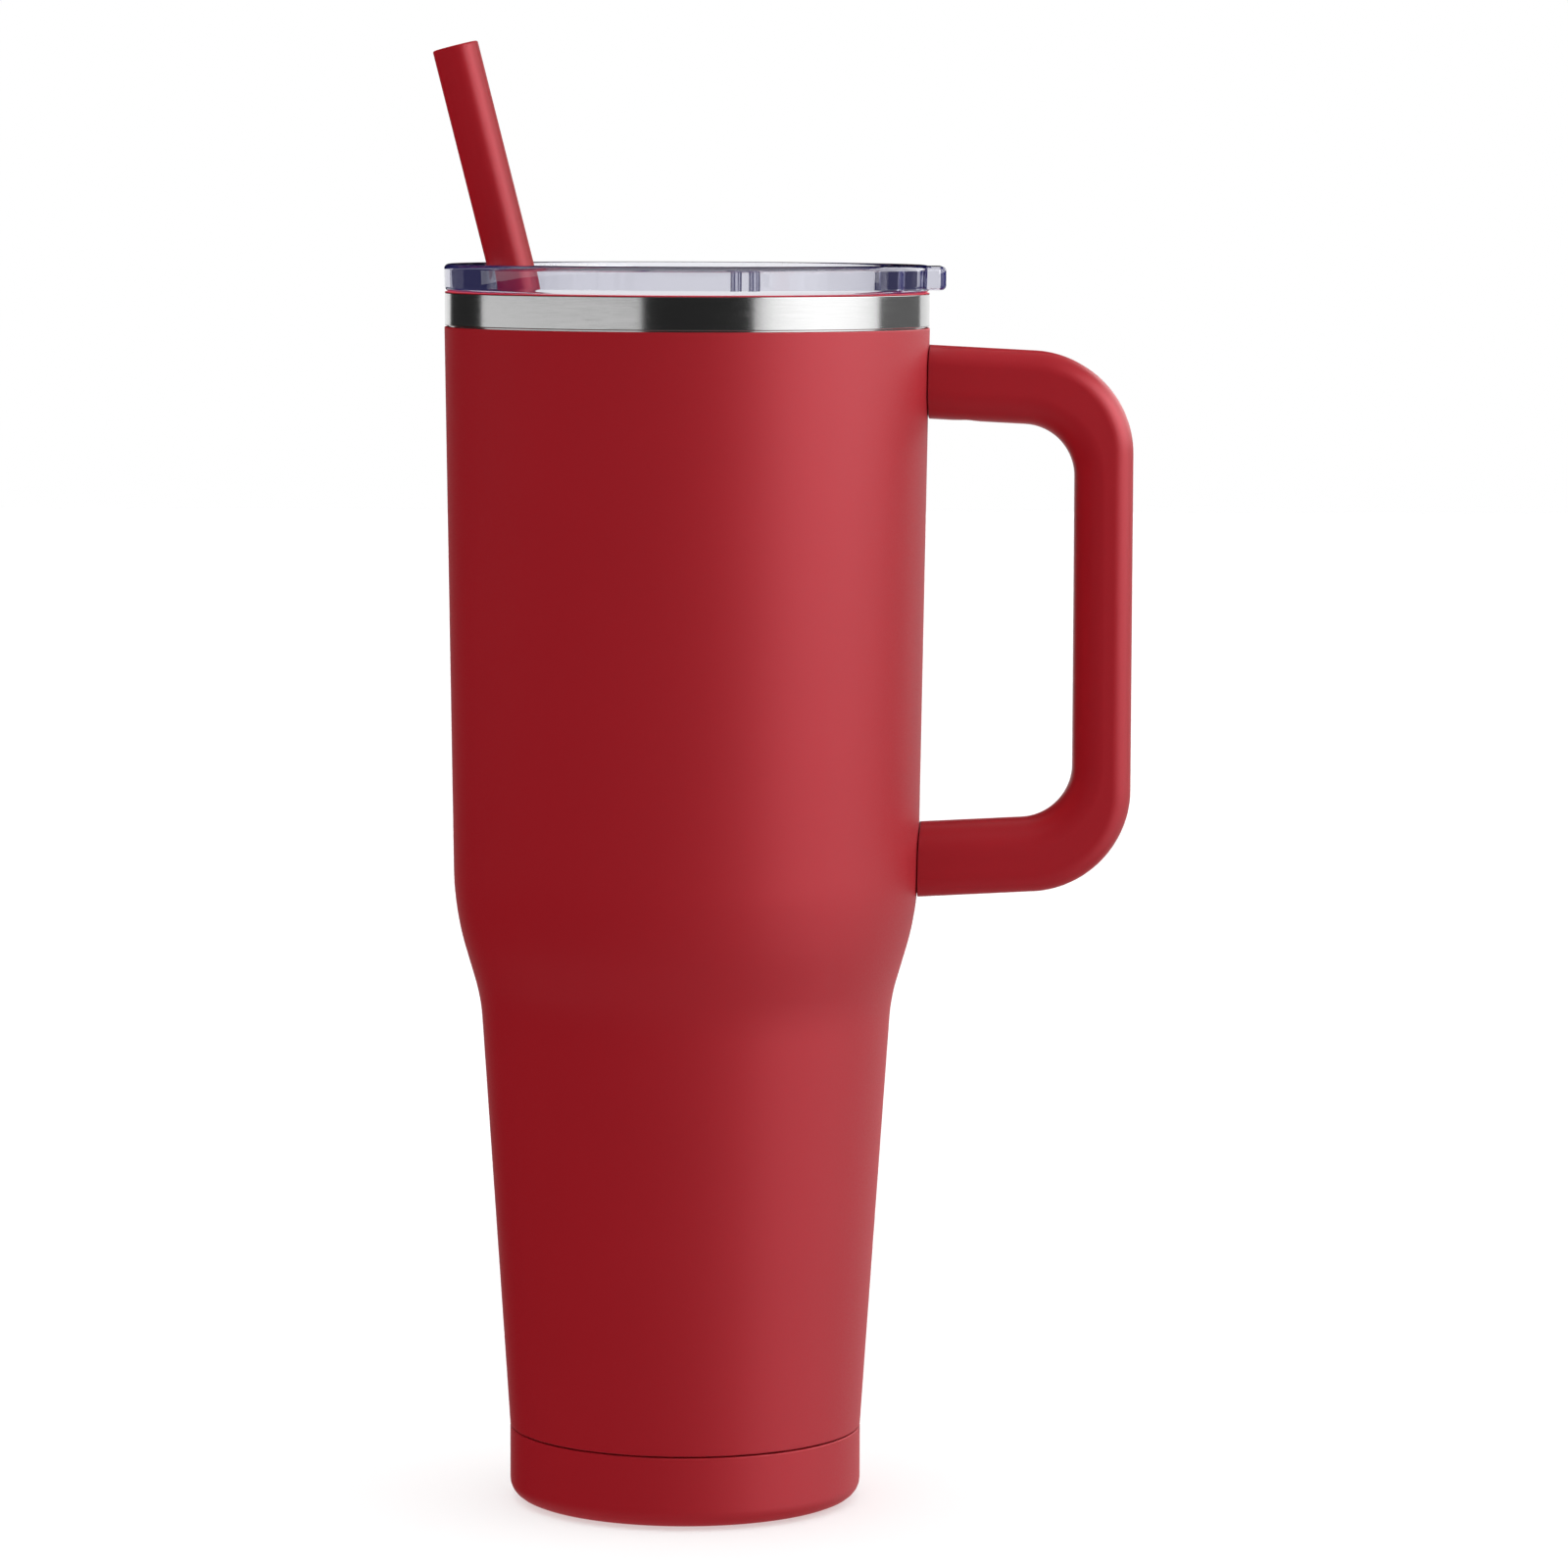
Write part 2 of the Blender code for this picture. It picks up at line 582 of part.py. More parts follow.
def handle_fastening(side, arm_z, core, finishes, parent):
    """One arm's bracket, screw and plug. It returns the helpers that cut their pockets into the handle."""
    screw_x = shell_radius(arm_z) + SCREW_REACH
    centre = (screw_x, 0)
    underside = arm_height(arm_z, screw_x) - HALF_ARM
    tongue_bottom = arm_z - TONGUE_HEIGHT / 2
    shelf_bottom = tongue_bottom - FIT_GAP - SCREW_SHELF
    head_top = shelf_bottom - FIT_GAP
    head_bottom = head_top - SCREW_HEAD_HEIGHT

    hole_r = SCREW_DIAMETER / 2 + FIT_GAP
    bore_r = PLUG_DIAMETER / 2 + FIT_GAP
    hole_top = arm_z + TONGUE_HEIGHT / 2 + FIT_GAP / 2
    screw_path = [
        (0, hole_top),
        (hole_r, hole_top),
        (hole_r, shelf_bottom),
        (bore_r, shelf_bottom),
        (bore_r, underside - PASS_THROUGH),
        (0, underside - PASS_THROUGH),
    ]
    screw_path = helper(f"screw_path_{side}", turned(screw_path, SMALL_TURN_STEPS, centre))

    saddle, tongue = bracket_shapes(arm_z, 0)
    bracket = add(f"handle_bracket_{side}", saddle, finishes["bracket"], parent)
    combine(bracket, "UNION", [helper(f"bracket_tongue_{side}", tongue)])
    combine(bracket, "DIFFERENCE", [core, screw_path])

    shank_r, head_r = SCREW_DIAMETER / 2, SCREW_HEAD_DIAMETER / 2
    shank_top = tongue_bottom + SCREW_BITE
    screw = [
        (0, shank_top),
        (shank_r, shank_top),
        (shank_r, head_top),
        (head_r, head_top),
        (head_r, head_bottom),
        (0, head_bottom),
    ]
    add(f"handle_screw_{side}", turned(screw, SMALL_TURN_STEPS, centre), finishes["screw"], parent)
    plug = disc(PLUG_DIAMETER, underside + PLUG_RECESS, head_bottom - FIT_GAP, centre)
    add(f"screw_plug_{side}", plug, finishes["plug"], parent)

    saddle_pocket, tongue_pocket = bracket_shapes(arm_z, FIT_GAP)
    pockets = [helper(f"saddle_pocket_{side}", saddle_pocket), helper(f"tongue_pocket_{side}", tongue_pocket)]
    return [*pockets, screw_path]


def handle_assembly(finishes, parent):
    core = shell_clearance()
    handle = add("handle", handle_shape(), finishes["handle"], parent)
    cutters = [core]
    for side, arm_z in (("upper", UPPER_ARM_Z), ("lower", LOWER_ARM_Z)):
        cutters += handle_fastening(side, arm_z, core, finishes, parent)
    combine(handle, "DIFFERENCE", cutters)


def lift_tab():
    """The tab that lifts the lid off, standing out over the handle."""
    low = (RECESS_TOP_R + FLANGE_ROUND, -TAB_WIDTH / 2)
    high = (FLANGE_R + TAB_REACH, TAB_WIDTH / 2)
    bottom, top = LID_SEAT + TAB_INSET, LID_TOP - TAB_INSET
    shape = prism(plate_outline(low, high, TAB_CORNER), "XY", bottom, top)
    bevel_edges(shape, lambda edge: abs(edge.verts[0].co.z - edge.verts[1].co.z) < FIT_GAP, TAB_ROUND, 2)
    return shape


def slider_rail(side):
    """One rail of the slider's guide, an angle whose lip holds the slider down."""
    foot = DECK_TOP - DECK_WALL / 2
    profile = [
        (side * RAIL_OUTER_Y, foot),
        (side * RAIL_OUTER_Y, RAIL_TOP),
        (side * RAIL_LIP_Y, RAIL_TOP),
        (side * RAIL_LIP_Y, RAIL_LIP_BOTTOM),
        (side * RAIL_INNER_Y, RAIL_LIP_BOTTOM),
        (side * RAIL_INNER_Y, foot),
    ]
    end_r = RECESS_R + RECESS_WALL / 2
    return prism(profile, "YZ", RAIL_STOP_X - RAIL_WALL, math.sqrt(end_r**2 - RAIL_OUTER_Y**2))


def lid(finish, parent):
    outline = [
        (0, DECK_TOP),
        (RECESS_R, DECK_TOP, RECESS_CORNER),
        (RECESS_TOP_R, LID_TOP, FLANGE_ROUND),
        (FLANGE_R, LID_TOP, FLANGE_ROUND),
        (FLANGE_R, LID_SEAT, FLANGE_ROUND),
        (SKIRT_R, LID_SEAT),
        (SKIRT_R, BEAD_TOP),
        (BEAD_R, BEAD_TOP),
        (BEAD_R, SKIRT_BOTTOM),
        (SKIRT_INNER_R, SKIRT_BOTTOM),
        (SKIRT_INNER_R, DECK_BOTTOM),
        (0, DECK_BOTTOM),
    ]
    body = add("lid", turned(rounded(outline)), finish, parent, (0, 0, LID_SEAT))
    stop_low = (RAIL_STOP_X - RAIL_WALL, -RAIL_INNER_Y - RAIL_WALL / 2, DECK_TOP - DECK_WALL / 2)
    stop_high = (RAIL_STOP_X, RAIL_INNER_Y + RAIL_WALL / 2, RAIL_TOP)
    added = {
        "lift_tab": lift_tab(),
        "rail_left": slider_rail(1),
        "rail_right": slider_rail(-1),
        "slider_stop": box(stop_low, stop_high),
    }
    combine(body, "UNION", [helper(name, shape) for name, shape in added.items()])

    cut_low, cut_high = DECK_BOTTOM - PASS_THROUGH, DECK_TOP + PASS_THROUGH
    sip_low = (SIP_X - SIP_WIDTH / 2, -SIP_LENGTH / 2)
    sip_high = (SIP_X + SIP_WIDTH / 2, SIP_LENGTH / 2)
    sip = prism(plate_outline(sip_low, sip_high, SIP_WIDTH / 2), "XY", cut_low, cut_high)
    deck_middle = (DECK_TOP + DECK_BOTTOM) / 2
    hole_x = STRAW_FOOT_X - (deck_middle - STRAW_FOOT_Z) * math.tan(STRAW_LEAN)
    hole_r = STRAW_DIAMETER / 2 / math.cos(STRAW_LEAN) + DECK_WALL / 2 * math.tan(STRAW_LEAN)
    hole = disc(2 * (hole_r + STRAW_HOLE_CLEARANCE), cut_low, DECK_TOP + RECESS_CORNER, (hole_x, 0))
    combine(body, "DIFFERENCE", [helper("sip_opening", sip), helper("straw_hole", hole)])
    return body


def lid_gasket(finish, parent):
    """A sleeve round the skirt with sealing fins and a thin flange that cushions the lid on the lip."""
    sleeve_r = GASKET_R + GASKET_WALL
    fin_r = sleeve_r + FIN_REACH
    bottom = BEAD_TOP + FIT_GAP
    flange_top = GASKET_FLANGE_BOTTOM + GASKET_FLANGE
    flange_r = RIM_R - BAND_INSET
    spacing = (GASKET_FLANGE_BOTTOM - bottom) / (FIN_COUNT + 1)
    outline = [(GASKET_R, bottom), (GASKET_R, flange_top), (flange_r, flange_top)]
    outline += [(flange_r, GASKET_FLANGE_BOTTOM), (sleeve_r, GASKET_FLANGE_BOTTOM)]
    for number in range(FIN_COUNT, 0, -1):
        middle = bottom + spacing * number
        outline += [(sleeve_r, middle + FIN_HEIGHT / 2), (fin_r, middle), (sleeve_r, middle - FIN_HEIGHT / 2)]
    outline.append((sleeve_r, bottom))
    return add("lid_gasket", turned(outline), finish, parent, (0, 0, LID_SEAT))


def lid_slider(finish, parent):
    """A flanged plate that runs under the rails, with thumb ribs near its inner end."""
    end_x = SLIDER_END_R + PASS_THROUGH
    flange_low = (SLIDER_INNER_X, -SLIDER_WIDTH / 2)
    flange = plate_outline(flange_low, (end_x, SLIDER_WIDTH / 2), SLIDER_CORNER)
    origin = (SLIDER_INNER_X, 0, SLIDER_BOTTOM)
    shape = prism(flange, "XY", SLIDER_BOTTOM, SLIDER_FLANGE_TOP)
    slider = add("lid_slider", shape, finish, parent, origin)
    body_low = (SLIDER_INNER_X, -SLIDER_BODY_WIDTH / 2)
    body = plate_outline(body_low, (end_x, SLIDER_BODY_WIDTH / 2), SLIDER_CORNER)
    body = prism(body, "XY", SLIDER_BOTTOM + SLIDER_FLANGE / 2, RAIL_TOP)
    joined = [helper("slider_body", body)]
    for number in range(RIB_COUNT):
        middle = SLIDER_INNER_X + RIB_INSET + number * RIB_PITCH
        low = (middle - RIB_THICKNESS / 2, -RIB_WIDTH / 2)
        high = (middle + RIB_THICKNESS / 2, RIB_WIDTH / 2)
        rib = plate_outline(low, high, RIB_THICKNESS / 2)
        rib = prism(rib, "XY", RAIL_TOP - SLIDER_FLANGE / 2, LID_TOP - RIB_TOP_DROP)
        joined.append(helper(f"thumb_rib_{number + 1}", rib))
    combine(slider, "UNION", joined)
    end = [(0, LID_TOP), (SLIDER_END_R, LID_TOP), (SLIDER_END_R, DECK_BOTTOM), (0, DECK_BOTTOM)]
    combine(slider, "INTERSECT", [helper("slider_end", turned(end))])
    return slider


def straw(finish, parent):
    outer_r = STRAW_DIAMETER / 2
    inner_r = outer_r - STRAW_WALL
    outline = [
        (inner_r, STRAW_LENGTH),
        (outer_r, STRAW_LENGTH, STRAW_EDGE_ROUND),
        (outer_r, 0, STRAW_EDGE_ROUND),
        (inner_r, 0),
    ]
    tube = add("straw", turned(rounded(outline), SMALL_TURN_STEPS), finish, parent)
    tube.location = (STRAW_FOOT_X, 0, STRAW_FOOT_Z)
    tube.rotation_euler = (0, -STRAW_LEAN, 0)
    return tube


def main():
    clear_scene()
    red = (0.30, 0.012, 0.018)
    coat = surface("red_powder_coat", red, 0.55)
    steel = surface("brushed_steel", (0.62, 0.61, 0.60), 0.32, metallic=1.0)
    plain_steel = surface("plain_steel", (0.45, 0.45, 0.46), 0.4, metallic=1.0)
    copper = surface("copper_foil", (0.80, 0.42, 0.28), 0.3, metallic=1.0)
    glass_solder = surface("glass_solder", (0.10, 0.11, 0.12), 0.2)
    getter_metal = surface("getter_metal", (0.25, 0.25, 0.26), 0.7, metallic=1.0)
    boot_red = surface("red_boot_plastic", red, 0.6)
    pad_rubber = surface("pad_rubber", (0.16, 0.010, 0.014), 0.8)
    handle_red = surface("red_handle_plastic", red, 0.5)
    plug_red = surface("red_plug_plastic", red, 0.55)
    bolt_steel = surface("bolt_steel", (0.50, 0.50, 0.50), 0.35, metallic=1.0)
    clear = surface("clear_plastic", (0.86, 0.88, 0.96), 0.05, transmission=1.0)
    slider_clear = surface("clear_slider_plastic", (0.84, 0.86, 0.95), 0.08, transmission=1.0)
    silicone = surface("red_silicone", (0.36, 0.016, 0.030), 0.6)
    straw_red = surface("red_straw_plastic", red, 0.4)

    mug = axis_empty("mug", (0, 0, 0))
    lid_axis = axis_empty("lid_axis", (0, 0, LID_SEAT), mug)

    outer_shell(coat, mug)
    inner_liner(steel, mug)
    heat_shield_foil(copper, mug)
    base_plate(plain_steel, mug)
    seal_bead(glass_solder, mug)
    getter(getter_metal, mug)
    base_cap(boot_red, mug)
    base_pad(pad_rubber, mug)
    fastening = {"handle": handle_red, "bracket": plain_steel, "screw": bolt_steel, "plug": plug_red}
    handle_assembly(fastening, mug)

    lid(clear, lid_axis)
    lid_gasket(silicone, lid_axis)
    lid_slider(slider_clear, lid_axis)
    straw(straw_red, lid_axis)


main()
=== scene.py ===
"""Dresses an insulated travel mug: detailed pieces on its packed frame, in a plain studio.

Metres, +Z up along the mug's turning axis, with the handle towards +X.
"""

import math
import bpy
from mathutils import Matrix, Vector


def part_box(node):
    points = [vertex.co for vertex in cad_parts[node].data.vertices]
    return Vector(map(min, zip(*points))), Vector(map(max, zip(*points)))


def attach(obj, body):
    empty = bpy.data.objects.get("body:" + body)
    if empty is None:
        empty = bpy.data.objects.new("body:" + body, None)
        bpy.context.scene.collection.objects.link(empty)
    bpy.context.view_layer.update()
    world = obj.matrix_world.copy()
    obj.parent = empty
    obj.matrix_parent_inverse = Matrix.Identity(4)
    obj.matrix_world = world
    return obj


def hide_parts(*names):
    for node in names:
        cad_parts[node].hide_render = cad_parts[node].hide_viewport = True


bl_info = {
    "name": "Insulated Travel Mug",
    "version": (1, 0, 0),
    "blender": (4, 5, 0),
    "location": "View3D > Sidebar > Mug",
    "description": "Builds the pieces, the finishes and the studio of an insulated travel mug",
    "category": "Add Mesh",
}

import bmesh
import bpy
from mathutils import Matrix, Vector

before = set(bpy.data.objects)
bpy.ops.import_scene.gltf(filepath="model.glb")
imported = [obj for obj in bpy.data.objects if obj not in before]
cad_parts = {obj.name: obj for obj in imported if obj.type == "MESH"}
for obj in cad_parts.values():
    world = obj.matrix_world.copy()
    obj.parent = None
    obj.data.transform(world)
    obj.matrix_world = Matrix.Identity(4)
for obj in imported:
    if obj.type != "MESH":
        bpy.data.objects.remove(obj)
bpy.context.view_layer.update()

SHELL_LOW, SHELL_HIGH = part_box("outer_shell")
LINER_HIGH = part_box("inner_liner")[1]
LID_LOW, LID_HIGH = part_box("lid")
GASKET_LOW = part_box("lid_gasket")[0]
SLIDER_LOW, SLIDER_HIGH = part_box("lid_slider")

FIT_GAP = 0.0003  # left between pieces that touch
TOUCH_GAP = 0.00005  # left where a soft piece is squeezed between hard ones
SAME_PLACE = 2e-6  # points nearer than this count as the same place
PASS_THROUGH = 0.004  # how far a cutter runs past what it cuts
SOFT_EDGE = 0.0002  # rounding that only takes the sharpness off an edge
LIP_RISE = 0.0004  # how much higher than in the CAD the lip stands, to meet the gasket
TURN_STEPS = 160  # facets round the turned pieces
CLEAR_STEPS = 192  # facets round the clear pieces, whose insides show
SATIN_SPREAD = 0.05  # how far the grain swings a satin finish's roughness
SHINE_WARMTH = 0.2  # how much of its own colour a satin finish puts into its shine
# It also sets how strong the clear plastic's painted glow is.
CLEAR_DENSITY = 100.0  # how fast the clear plastic's tint deepens
SOFTBOX_FADE = 0.33  # how much dimmer the softbox is at its sides

# Satin finishes: roughness, grain size, grain depth and shine.
SATIN = {
    "red powder coat": (0.50, 0.00035, 1.2e-5, 1.0),
    "red boot plastic": (0.50, 0.00035, 1.0e-5, 1.0),
    "foot pad silicone": (0.75, 0.0003, 1.5e-5, 0.3),
    "red handle plastic": (0.42, 0.00022, 6e-6, 0.9),
    "red plug plastic": (0.45, 0.00022, 6e-6, 0.9),
    "red silicone": (0.5, 0.0003, 6e-6, 0.4),
    "red straw plastic": (0.38, 0.0003, 3e-6, 0.62),
    "glass solder": (0.12, 0.0008, 4e-6, 0.6),
    "getter metal": (0.7, 0.0002, 1e-5, 0.5),
}
# Brushed metals: roughness, depth of the lines and how far they swing the roughness.
BRUSHED = {
    "brushed liner steel": (0.11, 2e-6, 0.04),
    "stamped steel": (0.3, 3e-6, 0.06),
    "screw steel": (0.25, 2e-6, 0.06),
    "copper foil": (0.22, 8e-6, 0.06),
}
TEXTURE_OUTPUTS = {"Height": "NodeSocketFloat", "Speckle": "NodeSocketFloat"}


def length(label, text, value):
    return bpy.props.FloatProperty(
        name=label, description=text, default=value, min=0.0, unit="LENGTH", precision=4
    )


def angle(label, text, degrees):
    return bpy.props.FloatProperty(
        name=label, description=text, default=math.radians(degrees), subtype="ANGLE"
    )


def amount(label, text, value):
    return bpy.props.FloatProperty(name=label, description=text, default=value, min=0.0)


def colour(label, text, value):
    return bpy.props.FloatVectorProperty(
        name=label, description=text, default=value, size=3, min=0.0, max=1.0, subtype="COLOR"
    )


class VesselSizes(bpy.types.PropertyGroup):
    """Sizes of the steel body, its boot and its foot pad."""

    rim_diameter: length("Rim diameter", "Across the coating's upper edge", 2 * SHELL_HIGH.x)
    coat_top: length("Coating top", "Height of the coating's upper edge", SHELL_HIGH.z)
    lip_top: length("Lip top", "Height of the steel lip", LINER_HIGH.z + LIP_RISE)
    shoulder_diameter: length("Shoulder diameter", "Where the body starts to step in", 0.0972)
    shoulder_height: length("Shoulder height", "Height of the shoulder", 0.1252)
    shoulder_round: length("Shoulder rounding", "Rounding of the shoulder", 0.063)
    waist_diameter: length("Waist diameter", "Where the step ends", 0.0862)
    waist_height: length("Waist height", "Height of the waist", 0.1066)
    waist_round: length("Waist rounding", "Rounding of the waist", 0.039)
    base_diameter: length("Base diameter", "Across the boot", 0.0740)
    shell_wall: length("Shell wall", "Thickness of the coated wall", 0.0006)
    vacuum_gap: length("Vacuum gap", "Between the shell and the liner", 0.0030)
    liner_wall: length("Liner wall", "Thickness of the liner", 0.0005)
    liner_base_diameter: length("Liner base diameter", "Across the liner at its floor", 0.0672)
    floor_height: length("Floor height", "Height of the inside floor", 0.0126)
    floor_round: length("Floor rounding", "Inside corner between floor and wall", 0.0078)
    band_inset: length("Band inset", "The bare steel band lies this far inside the coating", 0.0001)
    lip_round: length("Lip rounding", "Rounding of the drinking edge on its inside", 0.0010)
    lip_edge: length("Lip edge", "Rounding of the drinking edge on its outside", 0.0001)
    boot_height: length("Boot height", "Height of the boot's upper edge", 0.0155)
    boot_wall: length("Boot wall", "Thickness of the boot", 0.0012)
    boot_round: length("Boot rounding", "Rounding of the boot's lower edge", 0.0036)
    boot_lift: length("Boot lift", "How far the boot stands above the ground", 0.0006)
    pad_diameter: length("Pad diameter", "Across the foot pad", 0.0600)
    pad_thickness: length("Pad thickness", "Thickness of the foot pad", 0.0014)


class HandleSizes(bpy.types.PropertyGroup):
    """Sizes of the moulded handle."""

    drop: length("Drop", "From the coating's upper edge down to the upper arm", 0.0036)
    span: length("Span", "Between the middles of the two arms", 0.0998)
    arm_height: length("Arm height", "Height of one arm", 0.01525)
    arm_slope: angle("Arm slope", "Both arms lean towards the grip's middle", 2.9)
    width: length("Width", "Across the handle", 0.0160)
    finger_room: length("Finger room", "From the rim to the grip", 0.0304)
    grip_thickness: length("Grip thickness", "Thickness of the grip", 0.0120)
    outer_bend: length("Outer bend", "Bend on the outside of the arch", 0.0212)
    inner_bend: length("Inner bend", "Bend on the finger side", 0.0110)
    outer_round: length("Outer rounding", "Edge rounding on the outside", 0.0042)
    inner_round: length("Inner rounding", "Edge rounding on the finger side", 0.0062)


class LidSizes(bpy.types.PropertyGroup):
    """Sizes of the clear lid, its gasket and its slide closure."""

    top: length("Lid top", "Height of the flange's top", LID_HIGH.z)
    flange_diameter: length("Flange diameter", "Across the flange", -2 * LID_LOW.x)
    flange_height: length("Flange height", "Thickness of the flange", 0.0057)
    flange_round: length("Flange rounding", "Rounding of the flange's edges", 0.0011)
    flange_draft: length("Flange draft", "Narrowing towards the bottom, on each side", 0.0002)
    recess_diameter: length("Recess diameter", "Across the recess at the deck", 0.0836)
    recess_depth: length("Recess depth", "From the flange's top to the deck", 0.0075)
    recess_draft: length("Recess draft", "Widening towards the top, on each side", 0.0001)
    deck_wall: length("Deck wall", "Thickness of the deck", 0.0022)
    skirt_diameter: length("Skirt diameter", "Across the skirt that goes into the mouth", 0.0892)
    skirt_wall: length("Skirt wall", "Thickness of the skirt", 0.0028)
    tab_reach: length("Tab reach", "How far the lift tab stands past the flange", 0.0031)
    tab_width: length("Tab width", "Across the lift tab", 0.0180)
    rail_wall: length("Rail wall", "Thickness of the slider's rails", 0.0016)
    rail_lip: length("Rail lip", "Thickness of the lips that hold the slider", 0.0007)
    slider_width: length("Slider width", "Across the slide closure's flange", 0.0220)
    slider_body_width: length("Slider body width", "Across its part between the rails", 0.0184)
    slider_flange: length("Slider flange", "Thickness of the slide closure's flange", 0.0010)
    slider_travel: length("Slider travel", "How far the slide closure moves", 0.0160)
    rib_inset: length("Rib inset", "From the closure's inner end to its first rib", 0.0018)
    rib_pitch: length("Rib pitch", "Between the thumb ribs", 0.00375)
    rib_thickness: length("Rib thickness", "Thickness of a thumb rib", 0.0023)
    rib_width: length("Rib width", "Width of a thumb rib", 0.0150)
    sip_length: length("Sip length", "Length of the sip opening", 0.0140)
    sip_width: length("Sip width", "Width of the sip opening", 0.0090)
    gasket_wall: length("Gasket wall", "Thickness of the gasket's sleeve", 0.0006)
    gasket_flange: length("Gasket flange", "Thickness where the lid rests on it", 0.0002)
    fin_reach: length("Fin reach", "How far the gasket's fins stand out", 0.0006)


class StrawSizes(bpy.types.PropertyGroup):
    """Sizes of the straw and its place in the mug."""

    diameter: length("Diameter", "Across the straw", 0.0096)
    wall: length("Wall", "Thickness of the straw's wall", 0.0012)
    long: length("Length", "Length of the straw", 0.3000)
    edge_round: length("Edge rounding", "Rounding of the straw's ends", 0.0004)
    foot_x: length("Foot place", "Where the straw's middle meets its foot, from the axis", 0.0253)
    foot_z: length("Foot height", "Height of the middle of the straw's foot", 0.0140767)
    lean: angle("Lean", "How far the straw leans away from the handle", 14.19011)


class Finishes(bpy.types.PropertyGroup):
    """Colours of the finishes, and of the painted glow in the clear plastic."""

    coat: colour("Coating", "Red of the powder coat", (0.330, 0.0090, 0.0150))
    moulded: colour("Handle", "Red of the moulded handle", (0.330, 0.0090, 0.0150))
    straw: colour("Straw", "Red of the straw", (0.335, 0.0092, 0.0152))
    silicone: colour("Gasket", "Red of the gasket", (0.410, 0.0200, 0.0360))
    pad: colour("Foot pad", "Dark red of the foot pad", (0.130, 0.0060, 0.0090))
    steel: colour("Steel", "Bare steel", (0.520, 0.520, 0.520))
    copper: colour("Copper", "Copper foil", (0.800, 0.420, 0.280))
    solder: colour("Solder", "Glass solder of the vacuum's seal", (0.030, 0.035, 0.040))
    getter: colour("Getter", "Grey of the getter", (0.220, 0.220, 0.230))
    clear: colour("Clear plastic", "Tint of light that passes the lid", (0.740, 0.740, 0.775))
    # Colour of a painted glow inside the clear plastic, an emission that stands in for scattered
    # light.
    painted_haze_glow: colour("Haze", "Light scattered in the clear plastic", (0.055, 0.050, 0.320))


class StudioSettings(bpy.types.PropertyGroup):
    """Lights, backdrop and camera."""

    key_power: amount("Key power", "Power of the soft light on the right, in watts", 1.9)
    dome_power: amount("Dome power", "Even light from above, in watts on a square metre", 3.9)
    bounce_power: amount("Bounce power", "Even light from below, in watts on a square metre", 3.0)
    softbox_upper: amount("Softbox top", "Its brightness in a satin surface", 5.6)
    softbox_lower: amount("Softbox bottom", "Its brightness in a satin surface", 1.3)
    strip: amount("Strip", "Brightness of the softbox's middle, which the steel mirrors", 1.9)
    floor: colour("Floor", "Colour of the floor", (0.50, 0.50, 0.50))
    floor_glow: amount("Floor glow", "How bright the floor is by itself to the camera", 0.50)
    ceiling: amount("Ceiling", "Brightness of the ceiling in a satin surface", 0.35)
    ground: amount("Ground", "Brightness of the ground in a satin surface", 0.28)
    slit_low: length("Slit bottom", "Where the dark tent opens for the steel", 0.19)
    slit_high: length("Slit top", "Where the dark tent closes again", 0.26)
    lens: amount("Lens", "Focal length of the camera, in millimetres", 140.0)


def start(name):
    """Names the primitive just added and takes it into edit mode, all of it selected."""
    piece = bpy.context.object
    piece.name = name
    piece.data.name = name
    bpy.ops.object.mode_set(mode="EDIT")
    bpy.ops.mesh.select_mode(type="VERT")
    bpy.ops.mesh.select_all(action="SELECT")
    return piece


def edit(piece):
    """Takes a finished mesh back into edit mode with all of it selected."""
    bpy.context.view_layer.objects.active = piece
    bpy.ops.object.mode_set(mode="EDIT")
    bpy.ops.mesh.select_all(action="SELECT")


def deselect():
    if bpy.context.mode != "OBJECT":
        bpy.ops.object.mode_set(mode="OBJECT")
    bpy.ops.object.select_all(action="DESELECT")


def pick(kind, chosen):
    """Selects what chosen accepts among the edited mesh's vertices, edges or faces."""
    bpy.ops.mesh.select_mode(type=kind)
    bpy.ops.mesh.select_all(action="DESELECT")
    mesh = bpy.context.edit_object.data
    shape = bmesh.from_edit_mesh(mesh)
    items = {"VERT": shape.verts, "EDGE": shape.edges, "FACE": shape.faces}[kind]
    found = [item for item in items if chosen(item)]
    if not found:
        raise RuntimeError(f"{mesh.name}: nothing to select")
    for item in found:
        item.select_set(True)
    shape.select_flush_mode()
    bmesh.update_edit_mesh(mesh)


def move(by):
    bpy.ops.transform.translate(value=by)


def draw_out(by):
    """Extrudes the selection and moves it."""
    bpy.ops.mesh.extrude_region_move(TRANSFORM_OT_translate={"value": by})


def stretch(by, middle=(0, 0, 0)):
    bpy.ops.transform.resize(value=by, center_override=middle)


def turn(by, axis):
    """Turns the selection round an axis through the origin. The operator counts clockwise."""
    bpy.ops.transform.rotate(value=-by, orient_axis=axis, center_override=(0, 0, 0))


def round_edges(reach, steps, shape=0.5):
    bpy.ops.mesh.bevel(
        offset=reach, segments=steps, profile=shape, affect="EDGES", clamp_overlap=False
    )


def tidy_mesh():
    """Merges doubles, points the faces outwards and leaves edit mode."""
    bpy.ops.mesh.select_all(action="SELECT")
    bpy.ops.mesh.remove_doubles(threshold=SAME_PLACE)
    bpy.ops.mesh.normals_make_consistent(inside=False)
    bpy.ops.object.mode_set(mode="OBJECT")


def apply(piece, kind, **settings):
    """Adds a modifier with these settings and applies it."""
    bpy.context.view_layer.objects.active = piece
    modifier = piece.modifiers.new(kind, kind)
    for name, value in settings.items():
        setattr(modifier, name, value)
    bpy.ops.object.modifier_apply(modifier=modifier.name)


def combine(piece, operation, tools):
    """Joins, cuts or trims the piece with each tool, and removes the tools."""
    for tool in tools:
        apply(piece, "BOOLEAN", operation=operation, solver="EXACT", object=tool)
        bpy.data.objects.remove(tool)


